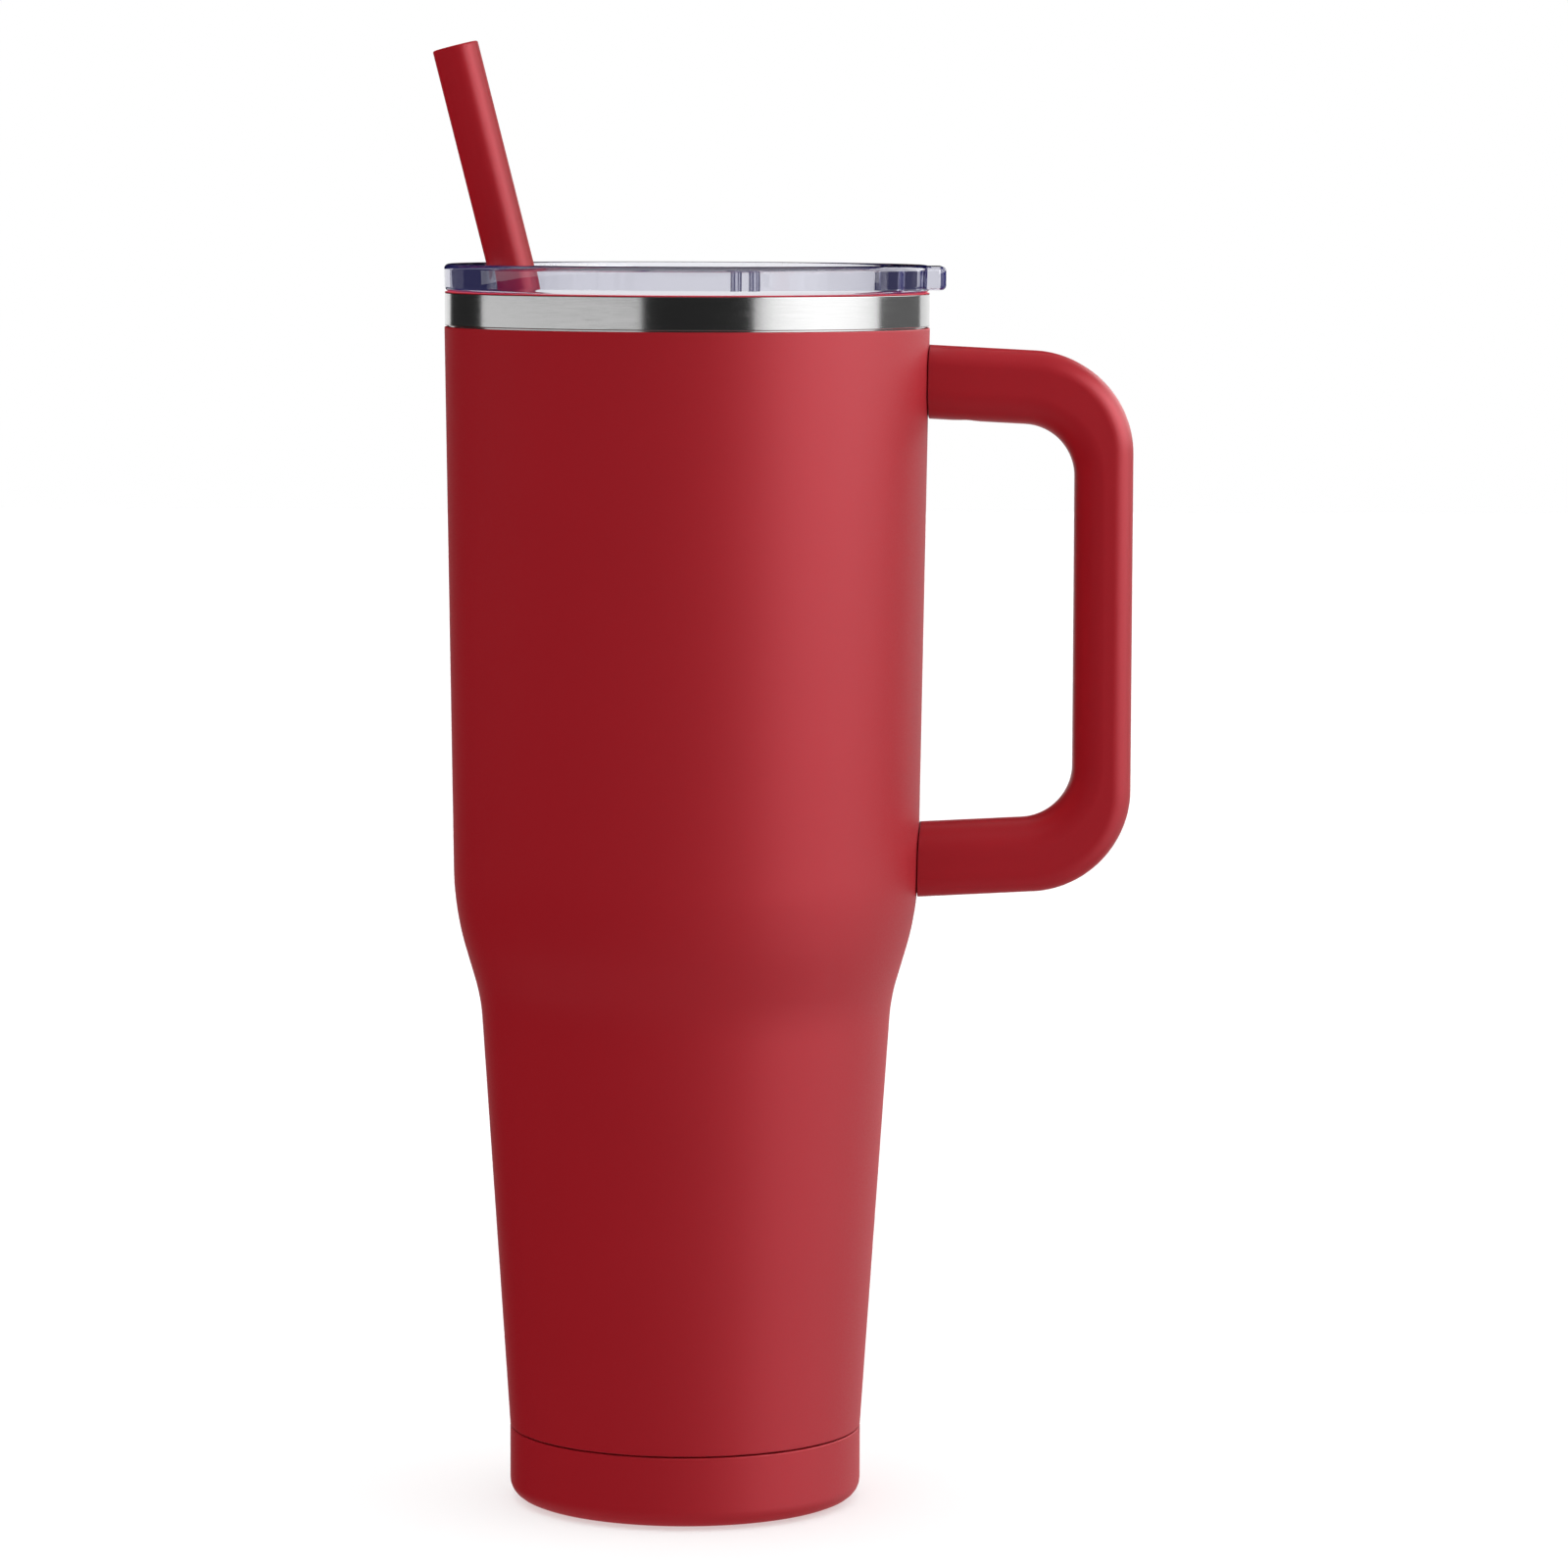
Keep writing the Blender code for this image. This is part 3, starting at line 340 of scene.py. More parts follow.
def finish(piece, material, body, nodes, crease=35):
    """Smooths a piece, gives it its material and sets it on its body, in place of CAD nodes."""
    deselect()
    piece.select_set(True)
    bpy.context.view_layer.objects.active = piece
    bpy.ops.object.shade_smooth_by_angle(angle=math.radians(crease))
    apply(piece, "WEIGHTED_NORMAL", keep_sharp=True, weight=80)
    piece.data.materials.clear()
    piece.data.materials.append(material)
    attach(piece, body)
    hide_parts(*nodes)
    deselect()


def on_ring(edge, radius, height):
    """Whether an edge runs round the axis at this radius and height."""
    return at_height(edge, height) and all(
        abs(math.hypot(vert.co.x, vert.co.y) - radius) < SAME_PLACE for vert in edge.verts
    )


def corner_turn(before, here, after):
    """The angle by which a profile turns at a corner."""
    back = Vector(before[:2]) - Vector(here[:2])
    ahead = Vector(after[:2]) - Vector(here[:2])
    return math.pi - back.angle(ahead)


def arc_shape(bend):
    """The bevel profile value that makes a corner of this bend a true arc."""
    half = math.cos(bend / 2)
    return ((1 + half / (1 + half)) / 2) ** 2


def turn_piece(name, profile, segments, solid, rounding_steps=6):
    """Draws a circle out along a profile of (radius, height, rounding), then rounds its corners.

    A solid piece is capped at its first and last ring. Any other piece is a closed ring.
    """
    deselect()
    bpy.ops.mesh.primitive_circle_add(vertices=segments, radius=profile[0][0])
    piece = start(name)
    move((0, 0, profile[0][1]))
    for before, here in zip(profile, profile[1:]):
        draw_out((0, 0, here[1] - before[1]))
        grow = here[0] / before[0]
        stretch((grow, grow, 1))
    first, last = profile[0], profile[-1]
    if solid:
        for ring in (first, last):
            pick("EDGE", lambda edge: on_ring(edge, *ring[:2]))
            bpy.ops.mesh.edge_face_add()
    else:
        pick("EDGE", lambda edge: on_ring(edge, *first[:2]) or on_ring(edge, *last[:2]))
        bpy.ops.mesh.bridge_edge_loops()
    axis_first = [(0, first[1])] if solid else [last]
    axis_last = [(0, last[1])] if solid else [first]
    path = [*axis_first, *profile, *axis_last]
    for before, here, after in zip(path, path[1:], path[2:]):
        if here[2] == 0:
            continue
        bend = corner_turn(before, here, after)
        pick("EDGE", lambda edge: on_ring(edge, *here[:2]))
        round_edges(here[2] * math.tan(bend / 2), rounding_steps, arc_shape(bend))
    tidy_mesh()
    return piece


def block(name, low, high):
    """A box between two corners, left in edit mode with all of it selected."""
    deselect()
    bpy.ops.mesh.primitive_cube_add(size=1)
    piece = start(name)
    low, high = Vector(low), Vector(high)
    stretch(high - low)
    move((low + high) / 2)
    return piece


def bar(name, radius, bottom, top, centre, segments=48):
    """An upright round bar, left in edit mode with all of it selected."""
    deselect()
    bpy.ops.mesh.primitive_cylinder_add(vertices=segments, radius=radius, depth=top - bottom)
    piece = start(name)
    move((centre[0], centre[1], (bottom + top) / 2))
    return piece


def along(edge, axis):
    """Whether an edge runs along X (0), Y (1) or Z (2)."""
    way = edge.verts[1].co - edge.verts[0].co
    return abs(way[axis]) > 0.999 * way.length


def at_height(edge, height):
    return all(abs(vert.co.z - height) < SAME_PLACE for vert in edge.verts)


def face_height(face, height):
    return abs(face.calc_center_median().z - height) < SAME_PLACE


def plate(name, low, high, corner, edge_round, corner_steps=8):
    """A flat plate between two corners, with rounded upright edges and softened rims."""
    piece = block(name, low, high)
    pick("EDGE", lambda edge: along(edge, 2))
    round_edges(corner, corner_steps)
    if edge_round:
        pick("EDGE", lambda edge: at_height(edge, low[2]) or at_height(edge, high[2]))
        round_edges(edge_round, 3)
    tidy_mesh()
    return piece


def flare(cutter, centre, bottom, top, rim):
    """Widens a cutter at both faces of the deck, so that its opening gets softened rims."""
    edit(cutter)
    widening = 1.07
    for height, way in ((top, 1), (bottom, -1)):
        pick("FACE", lambda face: face.normal.z * way > 0.9 and face_height(face, height))
        draw_out((0, 0, way * rim))
        stretch((widening, widening, 1), (*centre, 0))
        draw_out((0, 0, way * 2 * rim))
    tidy_mesh()


def shell_side(vessel, inset):
    """The coated wall from its foot to its rim, moved inwards by inset."""
    foot = vessel.boot_height + FIT_GAP
    waist_round = vessel.waist_round + inset
    shoulder_round = vessel.shoulder_round - inset
    return [
        (vessel.base_diameter / 2 - inset, foot, 0),
        (vessel.waist_diameter / 2 - inset, vessel.waist_height, waist_round),
        (vessel.shoulder_diameter / 2 - inset, vessel.shoulder_height, shoulder_round),
        (vessel.rim_diameter / 2 - inset, vessel.coat_top, 0),
    ]


def between(low, high, height):
    """The radius at this height on the line between two profile points."""
    return low[0] + (high[0] - low[0]) * (height - low[1]) / (high[1] - low[1])


def wire(tree, kind, inputs=None, **settings):
    """Adds a shader node, sets its options, and sets or links its inputs."""
    node = tree.nodes.new("ShaderNode" + kind)
    for name, value in settings.items():
        setattr(node, name, value)
    for name, value in (inputs or {}).items():
        if isinstance(value, bpy.types.NodeSocket):
            tree.links.new(value, node.inputs[name])
        else:
            node.inputs[name].default_value = value
    return node


def result(tree, kind, inputs, **settings):
    """The first output of a new node."""
    return wire(tree, kind, inputs, **settings).outputs[0]


def reckon(tree, operation, *values):
    """The result of a Math node on these numbers or sockets."""
    return result(tree, "Math", dict(enumerate(values)), operation=operation)


def object_place(tree):
    return wire(tree, "TexCoord").outputs["Object"]


def across_axis(tree):
    """A point's way from the mug's axis, as a vector, and its distance from it."""
    flat = result(tree, "VectorMath", {0: object_place(tree), 1: (1, 1, 0)}, operation="MULTIPLY")
    return flat, wire(tree, "VectorMath", {0: flat}, operation="LENGTH").outputs["Value"]


def node_group(name, inputs, outputs):
    """A new shader node group with these sockets, given as {name: default} and {name: kind}."""
    group = bpy.data.node_groups.new(name, "ShaderNodeTree")
    add_socket = group.interface.new_socket
    for label, value in inputs.items():
        kind = "NodeSocketFloat" if isinstance(value, float) else "NodeSocketColor"
        add_socket(name=label, in_out="INPUT", socket_type=kind).default_value = value
    for label, kind in outputs.items():
        add_socket(name=label, in_out="OUTPUT", socket_type=kind)
    given = group.nodes.new("NodeGroupInput").outputs
    return group, given, group.nodes.new("NodeGroupOutput").inputs


def fine_grain():
    """Group: a fine pebbled surface of a given grain size, with a slower swell under it."""
    name = "Fine Grain"
    if name in bpy.data.node_groups:
        return bpy.data.node_groups[name]
    sizes = {"Grain Size": 0.0004, "Swell Size": 0.004, "Swell": 0.3}
    group, given, out = node_group(name, sizes, TEXTURE_OUTPUTS)
    place = object_place(group)
    fine = reckon(group, "DIVIDE", 1.0, given["Grain Size"])
    slow = reckon(group, "DIVIDE", 1.0, given["Swell Size"])
    grain = {"Vector": place, "Scale": fine, "Detail": 2.0, "Roughness": 0.6}
    grain = result(group, "TexNoise", grain)
    swell = {"Vector": place, "Scale": slow, "Detail": 1.0, "Roughness": 0.5}
    swell = result(group, "TexNoise", swell)
    mixed = result(group, "Mix", {"Factor": given["Swell"], "A": grain, "B": swell})
    speckle = result(group, "MapRange", {"Value": grain, "From Min": 0.3, "From Max": 0.7})
    group.links.new(mixed, out["Height"])
    group.links.new(speckle, out["Speckle"])
    return group


def colour_drift():
    """Group: a colour that drifts a little lighter and darker over the surface."""
    name = "Colour Drift"
    if name in bpy.data.node_groups:
        return bpy.data.node_groups[name]
    plain = {"Colour": (0.5, 0.5, 0.5, 1.0), "Amount": 0.06, "Patch Size": 0.03, "Speckle": 0.5}
    group, given, out = node_group(name, plain, {"Colour": "NodeSocketColor"})
    scale = reckon(group, "DIVIDE", 1.0, given["Patch Size"])
    patch = {"Vector": object_place(group), "Scale": scale, "Detail": 3.0}
    both = reckon(group, "ADD", result(group, "TexNoise", patch), given["Speckle"])
    swing = reckon(group, "SUBTRACT", both, 1.0)
    level = reckon(group, "MULTIPLY_ADD", swing, given["Amount"], 1.0)
    tinted = result(group, "HueSaturation", {"Color": given["Colour"], "Value": level})
    group.links.new(tinted, out["Colour"])
    return group


def turned_brushing():
    """Group: fine lines that run round the axis, as a polishing belt leaves them on steel."""
    name = "Turned Brushing"
    if name in bpy.data.node_groups:
        return bpy.data.node_groups[name]
    sizes = {"Line Size": 0.0001, "Line Count": 6.0}
    group, given, out = node_group(name, sizes, TEXTURE_OUTPUTS)
    flat, radius = across_axis(group)
    heading = result(group, "VectorMath", {0: flat}, operation="NORMALIZE")
    spread = {0: heading, "Scale": given["Line Count"]}
    spread = result(group, "VectorMath", spread, operation="SCALE")
    height = wire(group, "SeparateXYZ", {0: object_place(group)}).outputs["Z"]
    up = reckon(group, "DIVIDE", reckon(group, "ADD", height, radius), given["Line Size"])
    up = result(group, "CombineXYZ", {"Z": up})
    lines = result(group, "VectorMath", {0: spread, 1: up}, operation="ADD")
    lines = {"Vector": lines, "Scale": 1.0, "Detail": 2.0, "Roughness": 0.65}
    lines = result(group, "TexNoise", lines)
    streaks = result(group, "MapRange", {"Value": lines, "From Min": 0.3, "From Max": 0.7})
    group.links.new(lines, out["Height"])
    group.links.new(streaks, out["Speckle"])
    return group


def blank_material(name):
    """A new material with only its Principled shader, and its node tree."""
    material = bpy.data.materials.new(name)
    material.use_nodes = True
    tree = material.node_tree
    return material, tree, tree.nodes["Principled BSDF"]


def texture(tree, shader, group, sizes, smoothest, roughest, depth):
    """Roughens a shader by a group's speckle, bumps it by its height and gives its outputs."""
    marks = wire(tree, "Group", sizes, node_tree=group).outputs
    levels = {"Value": marks["Speckle"], "To Min": smoothest, "To Max": roughest}
    tree.links.new(result(tree, "MapRange", levels), shader.inputs["Roughness"])
    bump = {"Strength": 1.0, "Distance": depth, "Height": marks["Height"]}
    tree.links.new(result(tree, "Bump", bump), shader.inputs["Normal"])
    return marks


def tint(tree, shader, tone, marks, drift):
    """Colours a shader, a little lighter and darker with a texture's speckle."""
    given = {"Colour": (*tone, 1.0), "Amount": drift, "Speckle": marks["Speckle"]}
    drifted = result(tree, "Group", given, node_tree=colour_drift())
    tree.links.new(drifted, shader.inputs["Base Color"])


def grained(name, tone, rim=1.0):
    """A satin coloured finish with a fine grain: powder coat, moulded plastic or silicone.

    Rim is the part of its shine that is left where the surface turns away.
    """
    roughness, grain, depth, specular = SATIN[name]
    material, tree, shader = blank_material(name)
    sizes = {"Grain Size": grain, "Swell Size": grain * 8}
    smoothest, roughest = roughness - SATIN_SPREAD, roughness + SATIN_SPREAD
    marks = texture(tree, shader, fine_grain(), sizes, smoothest, roughest, depth)
    tint(tree, shader, tone, marks, drift=0.07)
    warmed = [(part / max(tone)) ** SHINE_WARMTH for part in tone]
    shader.inputs["Specular Tint"].default_value = (*warmed, 1.0)
    shader.inputs["IOR"].default_value = 1.55
    if rim == 1:
        shader.inputs["Specular IOR Level"].default_value = specular
        return material
    fall = {"From Min": 0.20, "From Max": 0.55, "To Min": specular, "To Max": specular * rim}
    fall["Value"] = wire(tree, "LayerWeight", {"Blend": 0.5}).outputs["Facing"]
    tree.links.new(result(tree, "MapRange", fall), shader.inputs["Specular IOR Level"])
    return material


def brushed(name, tone):
    """Bare metal with lines brushed round the axis."""
    roughness, depth, spread = BRUSHED[name]
    material, tree, shader = blank_material(name)
    smoothest, roughest = roughness - spread, roughness + spread
    marks = texture(tree, shader, turned_brushing(), {}, smoothest, roughest, depth)
    tint(tree, shader, tone, marks, drift=0.06)
    shader.inputs["Metallic"].default_value = 1.0
    shader.inputs["Anisotropic"].default_value = 0.6
    return material


def clear_plastic(name, finishes, roughness):
    """Clear plastic with a faint flow in its surface, and a tint and a painted glow that deepen
    inside; the glow stands in for light scattered in the plastic.
    """
    material, tree, shader = blank_material(name)
    sizes = {"Grain Size": 0.006, "Swell Size": 0.02, "Swell": 0.7}
    smoothest, roughest = roughness * 0.6, roughness * 1.4
    texture(tree, shader, fine_grain(), sizes, smoothest, roughest, 2e-5)
    shader.inputs["Base Color"].default_value = (1.0, 1.0, 1.0, 1.0)
    shader.inputs["IOR"].default_value = 1.57
    shader.inputs["Transmission Weight"].default_value = 1.0
    absorb = {"Color": (*finishes.clear, 1.0), "Density": CLEAR_DENSITY}
    absorb = result(tree, "VolumeAbsorption", absorb)
    # Painted glow: an emission in the volume that stands in for light scattered inside the plastic,
    # and glows under any light.
    painted_glow = {"Color": (*finishes.painted_haze_glow, 1.0), "Strength": CLEAR_DENSITY / 10}
    painted_glow = result(tree, "Emission", painted_glow)
    volume = result(tree, "AddShader", {0: absorb, 1: painted_glow})
    tree.links.new(volume, tree.nodes["Material Output"].inputs["Volume"])
    return material


class TRAVELMUG_OT_shell(bpy.types.Operator):
    """Turn the coated steel shell"""

    bl_idname = "travel_mug.shell"
    bl_label = "Coated Shell"

    def execute(self, context):
        vessel, finishes = context.scene.mug_vessel, context.scene.mug_finishes
        wall = vessel.shell_wall
        outside, inside = shell_side(vessel, 0), shell_side(vessel, wall)
        foot = outside[0][1]
        spigot = vessel.base_diameter / 2 - vessel.boot_wall - FIT_GAP
        spigot_bottom = SHELL_LOW.z
        edge = 0.00025
        profile = [
            (spigot - wall, spigot_bottom, 0),
            (spigot, spigot_bottom, 0),
            (spigot, foot, 0),
            (*outside[0][:2], edge),
            *outside[1:3],
            (*outside[3][:2], edge),
            inside[3],
            inside[2],
            inside[1],
            (between(inside[0], inside[1], foot + wall), foot + wall, 0),
            (spigot - wall, foot + wall, 0),
        ]
        piece = turn_piece("coated_shell", profile, TURN_STEPS, solid=False, rounding_steps=10)
        coat = grained("red powder coat", finishes.coat)
        finish(piece, coat, "vessel", ["outer_shell"])
        return {"FINISHED"}


class TRAVELMUG_OT_liner(bpy.types.Operator):
    """Turn the steel liner with its drinking lip and the bare band above the coating"""

    bl_idname = "travel_mug.liner"
    bl_label = "Steel Liner"

    def execute(self, context):
        vessel, finishes = context.scene.mug_vessel, context.scene.mug_finishes
        wall = vessel.liner_wall
        depth = vessel.shell_wall + vessel.vacuum_gap
        wall_top = 0.2360
        collar_depth = 0.0040
        lip_fold = 0.0012
        lip = vessel.lip_top

        def side(inset):
            """The liner's wall from its floor corner to its mouth, moved inwards by inset."""
            far = depth + inset
            floor = vessel.floor_height - wall + inset
            corner = vessel.floor_round + wall - inset
            return [
                (vessel.liner_base_diameter / 2 - inset, floor, corner),
                *shell_side(vessel, far)[1:3],
                (vessel.rim_diameter / 2 - far, wall_top, 0),
            ]

        band = vessel.rim_diameter / 2 - vessel.band_inset
        band_bottom = vessel.coat_top + FIT_GAP
        collar = vessel.rim_diameter / 2 - vessel.shell_wall - FIT_GAP
        collar_bottom = vessel.coat_top - collar_depth
        lip_under = lip - lip_fold
        mouth = vessel.rim_diameter / 2 - depth - wall
        profile = [
            *side(wall),
            (mouth, lip, vessel.lip_round),
            (band, lip, vessel.lip_edge),
            (band, band_bottom, SOFT_EDGE),
            (collar, band_bottom, 0),
            (collar, collar_bottom, 0),
            (collar - wall, collar_bottom, 0),
            (collar - wall, lip_under, 0),
            (mouth + wall, lip_under, 0),
            *side(0)[::-1],
        ]
        piece = turn_piece("steel_liner", profile, TURN_STEPS, solid=True, rounding_steps=8)
        steel = brushed("brushed liner steel", finishes.steel)
        tree = steel.node_tree
        # The lip mirrors less than the band, so that its top stays pale.
        satin = {"From Min": mouth, "From Max": band - vessel.lip_edge, "To Min": 0.45}
        satin["Value"] = across_axis(tree)[1]
        shader = tree.nodes["Principled BSDF"]
        tree.links.new(result(tree, "MapRange", satin), shader.inputs["Metallic"])
        finish(piece, steel, "vessel", ["inner_liner"])
        return {"FINISHED"}


class TRAVELMUG_OT_boot(bpy.types.Operator):
    """Turn the boot round the foot"""

    bl_idname = "travel_mug.boot"
    bl_label = "Boot"

    def execute(self, context):
        vessel, finishes = context.scene.mug_vessel, context.scene.mug_finishes
        outer = vessel.base_diameter / 2
        inner = outer - vessel.boot_wall
        pocket = vessel.pad_diameter / 2 + FIT_GAP
        pocket_top = vessel.pad_thickness + FIT_GAP
        floor_top = pocket_top + vessel.boot_wall
        top_edge = 0.0003
        profile = [
            (inner, floor_top, 0),
            (inner, vessel.boot_height, 0),
            (outer, vessel.boot_height, top_edge),
            (outer, vessel.boot_lift, vessel.boot_round),
            (pocket, vessel.boot_lift, SOFT_EDGE),
            (pocket, pocket_top, 0),
        ]
        piece = turn_piece("boot", profile, TURN_STEPS, solid=True)
        red = grained("red boot plastic", finishes.coat)
        finish(piece, red, "vessel", ["base_cap"])
        return {"FINISHED"}


class TRAVELMUG_OT_pad(bpy.types.Operator):
    """Turn the non-slip foot pad with its shallow rings"""

    bl_idname = "travel_mug.pad"
    bl_label = "Foot Pad"

    def execute(self, context):
        vessel, finishes = context.scene.mug_vessel, context.scene.mug_finishes
        outer = vessel.pad_diameter / 2
        outer_edge = 0.0003
        ring_radii = (0.026, 0.019, 0.012)
        ring_depth, ring_half, ring_edge = 0.0005, 0.0007, 0.0001
        flat_middle = 0.006
        profile = [(outer, vessel.pad_thickness, 0), (outer, 0, outer_edge)]
        for ring in ring_radii:
            for aside, depth in ((1, 0), (0.5, ring_depth), (-0.5, ring_depth), (-1, 0)):
                profile.append((ring + aside * ring_half, depth, ring_edge))
        profile.append((flat_middle, 0, 0))
        piece = turn_piece("foot_pad", profile, segments=120, solid=True, rounding_steps=3)
        rubber = grained("foot pad silicone", finishes.pad)
        finish(piece, rubber, "vessel", ["base_pad"])
        return {"FINISHED"}


class TRAVELMUG_OT_handle(bpy.types.Operator):
    """Shape the moulded handle: an arch cut from a block, rounded, and fitted to the shell"""

    bl_idname = "travel_mug.handle"
    bl_label = "Handle"

    def execute(self, context):
        scene = context.scene
        vessel, handle, finishes = scene.mug_vessel, scene.mug_handle, scene.mug_finishes
        rim = vessel.rim_diameter / 2
        slope = math.tan(handle.arm_slope)
        half_arm = handle.arm_height / 2 / math.cos(handle.arm_slope)
        upper = vessel.coat_top - handle.drop - handle.arm_height / 2
        lower = upper - handle.span
        grip_inner = rim + handle.finger_room
        grip_outer = grip_inner + handle.grip_thickness
        inside_shell = 0.015
        root = rim - inside_shell
        half_width = handle.width / 2
        corner_bend = math.pi / 2 - handle.arm_slope

        def arch_block(name, back, end, half, wide, bend, steps):
            """A block from inside the shell to end, with the arms' slopes above and below."""
            top = upper - slope * (end - rim) + half
            bottom = lower + slope * (end - rim) - half
            piece = block(name, (back, -wide, bottom), (end, wide, top))
            middle_z = (top + bottom) / 2

            def at_end(vert):
                return vert.co.x > end - SAME_PLACE

            for way in (1, -1):
                pick("VERT", lambda vert: way * (vert.co.z - middle_z) > 0 and not at_end(vert))
                move((0, 0, way * slope * (end - back)))
            pick("EDGE", lambda edge: along(edge, 1) and all(map(at_end, edge.verts)))
            round_edges(bend * math.tan(corner_bend / 2), steps)
            tidy_mesh()
            return piece

        arch = (root, grip_outer, half_arm, half_width, handle.outer_bend)
        piece = arch_block("handle_arch", *arch, steps=28)
        opening_back = root - PASS_THROUGH
        opening_half = half_width + PASS_THROUGH
        opening = (opening_back, grip_inner, -half_arm, opening_half, handle.inner_bend)
        combine(piece, "DIFFERENCE", [arch_block("finger_opening", *opening, steps=20)])

        edit(piece)
        middle = Vector(((rim + grip_inner) / 2, 0, (upper + lower) / 2))

        def long_edge(edge, outside):
            """Whether an edge of a flat side lies on the outside or on the finger side."""
            if any(abs(abs(vert.co.y) - half_width) > SAME_PLACE for vert in edge.verts):
                return False
            if edge.verts[0].co.y * edge.verts[1].co.y < 0:
                return False
            if all(vert.co.x < root + SAME_PLACE for vert in edge.verts):
                return False
            flanks = [face for face in edge.link_faces if abs(face.normal.y) < 0.5]
            if not flanks:
                return False
            spot = (edge.verts[0].co + edge.verts[1].co) / 2
            return (flanks[0].normal.dot(spot - middle) > 0) == outside

        pick("EDGE", lambda edge: long_edge(edge, True))
        round_edges(handle.outer_round, 8)
        pick("EDGE", lambda edge: long_edge(edge, False))
        round_edges(handle.inner_round, 8)
        tidy_mesh()

        core = shell_side(vessel, -FIT_GAP)
        core.append((core[-1][0], vessel.lip_top + PASS_THROUGH, 0))
        tools = [turn_piece("shell_core", core, TURN_STEPS, solid=True, rounding_steps=10)]
        room = Vector((FIT_GAP, FIT_GAP, FIT_GAP))
        run_out = 0.01
        for side in ("upper", "lower"):
            low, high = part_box(f"handle_bracket_{side}")
            pocket_low = low - room - Vector((run_out, 0, 0))
            tools.append(block(f"bracket_pocket_{side}", pocket_low, high + room))
            plug_low, plug_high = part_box(f"screw_plug_{side}")
            centre = (plug_low + plug_high) / 2
            bore = (plug_high.x - plug_low.x) / 2 + FIT_GAP
            bore_top = (low.z + high.z) / 2
            tools.append(bar(f"plug_bore_{side}", bore, plug_low.z - run_out, bore_top, centre))
        deselect()
        combine(piece, "DIFFERENCE", tools)
        red = grained("red handle plastic", finishes.moulded)
        finish(piece, red, "vessel", ["handle"])
        return {"FINISHED"}


class TRAVELMUG_OT_plugs(bpy.types.Operator):
    """Shape the plugs that cover the handle's screws"""

    bl_idname = "travel_mug.plugs"
    bl_label = "Screw Plugs"

    def execute(self, context):
        red = grained("red plug plastic", context.scene.mug_finishes.moulded)
        for side in ("upper", "lower"):
            low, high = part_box(f"screw_plug_{side}")
            radius = (high.x - low.x) / 2
            centre = (low + high) / 2
            piece = bar(f"plug_{side}", radius, low.z, high.z, centre)
            pick("FACE", lambda face: face.normal.z < -0.9)
            bpy.ops.mesh.inset(thickness=0.0006, depth=-0.0001)
            pick("EDGE", lambda edge: at_height(edge, low.z) and edge.calc_face_angle(0) > 1)
            round_edges(reach=0.0003, steps=3)
            tidy_mesh()
            finish(piece, red, "vessel", [f"screw_plug_{side}"])
        return {"FINISHED"}


